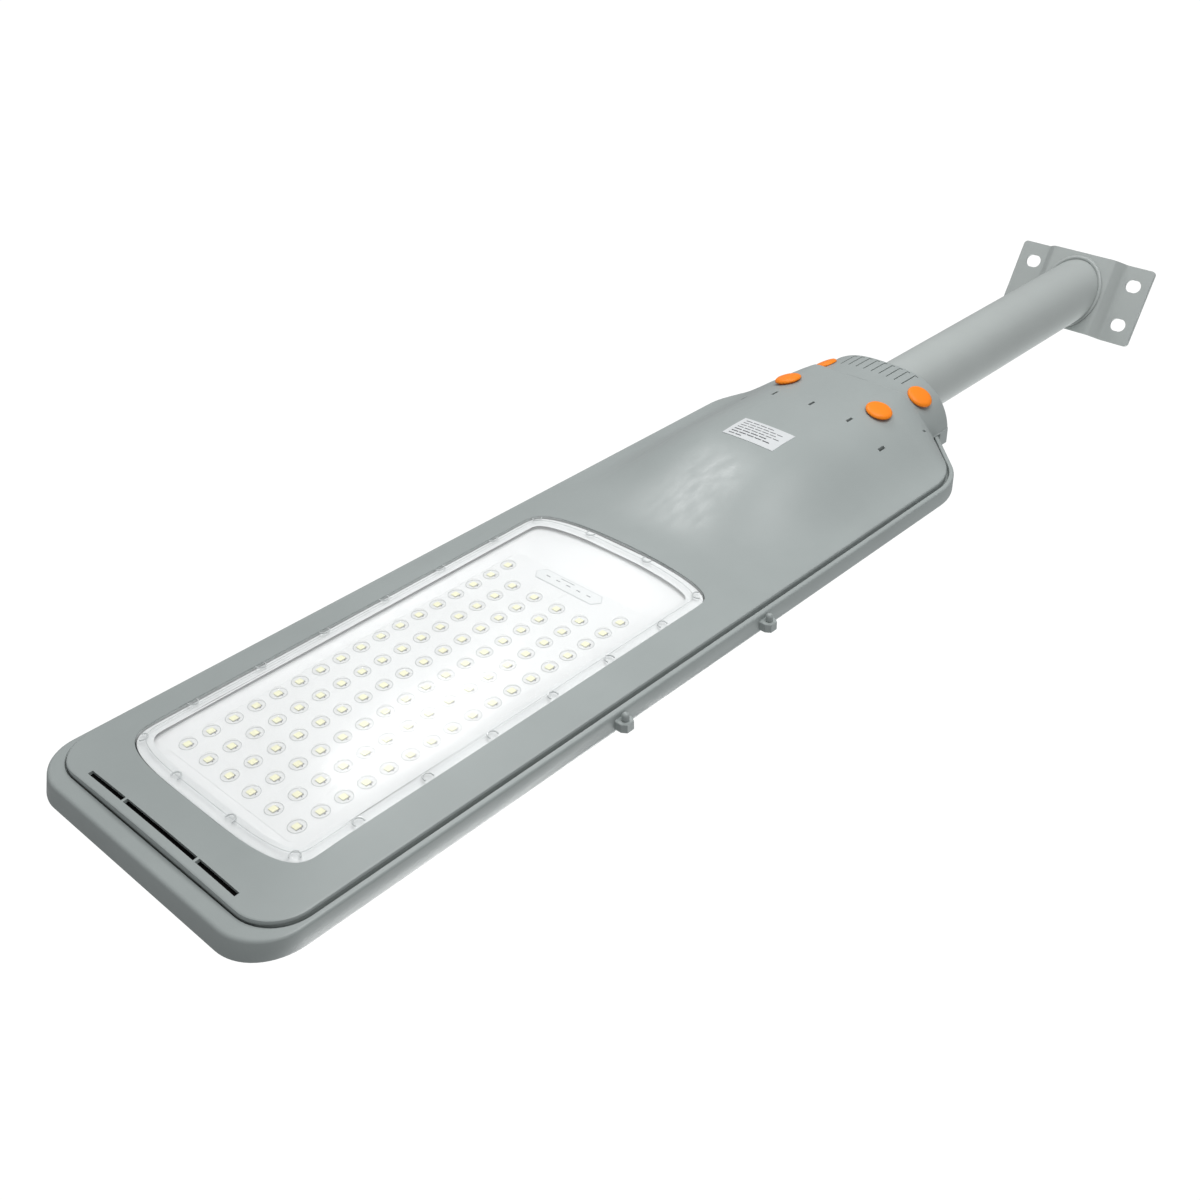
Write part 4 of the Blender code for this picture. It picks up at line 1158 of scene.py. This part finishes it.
def studio():
    """Pale floor, white surroundings with a weak fill, and four soft lights."""
    floor = bmesh.new()
    bmesh.ops.create_grid(floor, x_segments=2, y_segments=2, size=9.0)
    mesh = bpy.data.meshes.new("floor")
    floor.to_mesh(mesh)
    floor.free()
    ground = loose_object("studio_floor", mesh)
    ground.location = (0, -0.6, -2.6)
    mesh.materials.append(moulded("floor_paint", (0.82, 0.82, 0.82), 0.8, 40.0, 0.0002, 0.01))

    world = bpy.data.worlds.new("studio")
    bpy.context.scene.world = world
    world.use_nodes = True
    tree = world.node_tree
    seen = tree.nodes["Background"]
    seen.inputs["Color"].default_value = (1.0, 1.0, 1.0, 1.0)
    seen.inputs["Strength"].default_value = 1.05
    fill = tree.nodes.new("ShaderNodeBackground")
    fill.inputs["Color"].default_value = (0.97, 0.985, 1.0, 1.0)
    fill.inputs["Strength"].default_value = 0.36
    rays = tree.nodes.new("ShaderNodeLightPath")
    mix = tree.nodes.new("ShaderNodeMixShader")
    tree.links.new(rays.outputs["Is Camera Ray"], mix.inputs["Fac"])
    tree.links.new(fill.outputs["Background"], mix.inputs[1])
    tree.links.new(seen.outputs["Background"], mix.inputs[2])
    tree.links.new(mix.outputs["Shader"], tree.nodes["World Output"].inputs["Surface"])

    target = Vector((0, -0.65, 0))
    for name, place, size, power in (("key", (-0.35, -0.5, -1.5), 1.3, 16.0),
                                     ("rim", (0.85, -0.15, -1.27), 0.4, 5.0),
                                     ("side", (-1.7, -1.9, -0.9), 1.4, 2.0),
                                     ("under", (-0.4, -0.2, 2.2), 2.2, 75.0)):
        light = bpy.data.lights.new(name, "AREA")
        light.shape = "DISK"
        light.size = size
        light.energy = power
        lamp = loose_object(name, light)
        lamp.location = place
        lamp.rotation_euler = (target - Vector(place)).to_track_quat("-Z", "Y").to_euler()


def camera():
    data = bpy.data.cameras.new("camera")
    data.sensor_width = 36.0
    data.lens = 43.68
    data.clip_start = 0.05
    eye = loose_object("camera", data)
    right = Vector((-0.72549, 0.68773, 0.02632))
    up = Vector((0.36763, 0.41958, -0.82994))
    forward = Vector((0.58182, 0.59243, 0.55723))
    turn = Matrix((right, up, -forward)).transposed()
    eye.matrix_world = Matrix.Translation((-0.6543, -1.4026, -0.6052)) @ turn.to_4x4()
    bpy.context.scene.camera = eye
    bpy.context.scene.view_settings.view_transform = "Standard"


wall_plate()
arm_tube()
weld_bead()
socket_sleeve()
front_cover()
vent_shade_patches()
plug_caps()
back_shell()
side_pins()
panel()
lens()
reflector()
light_board()
board_label()
rating_label()
finish_kept_nodes()
studio()
camera()
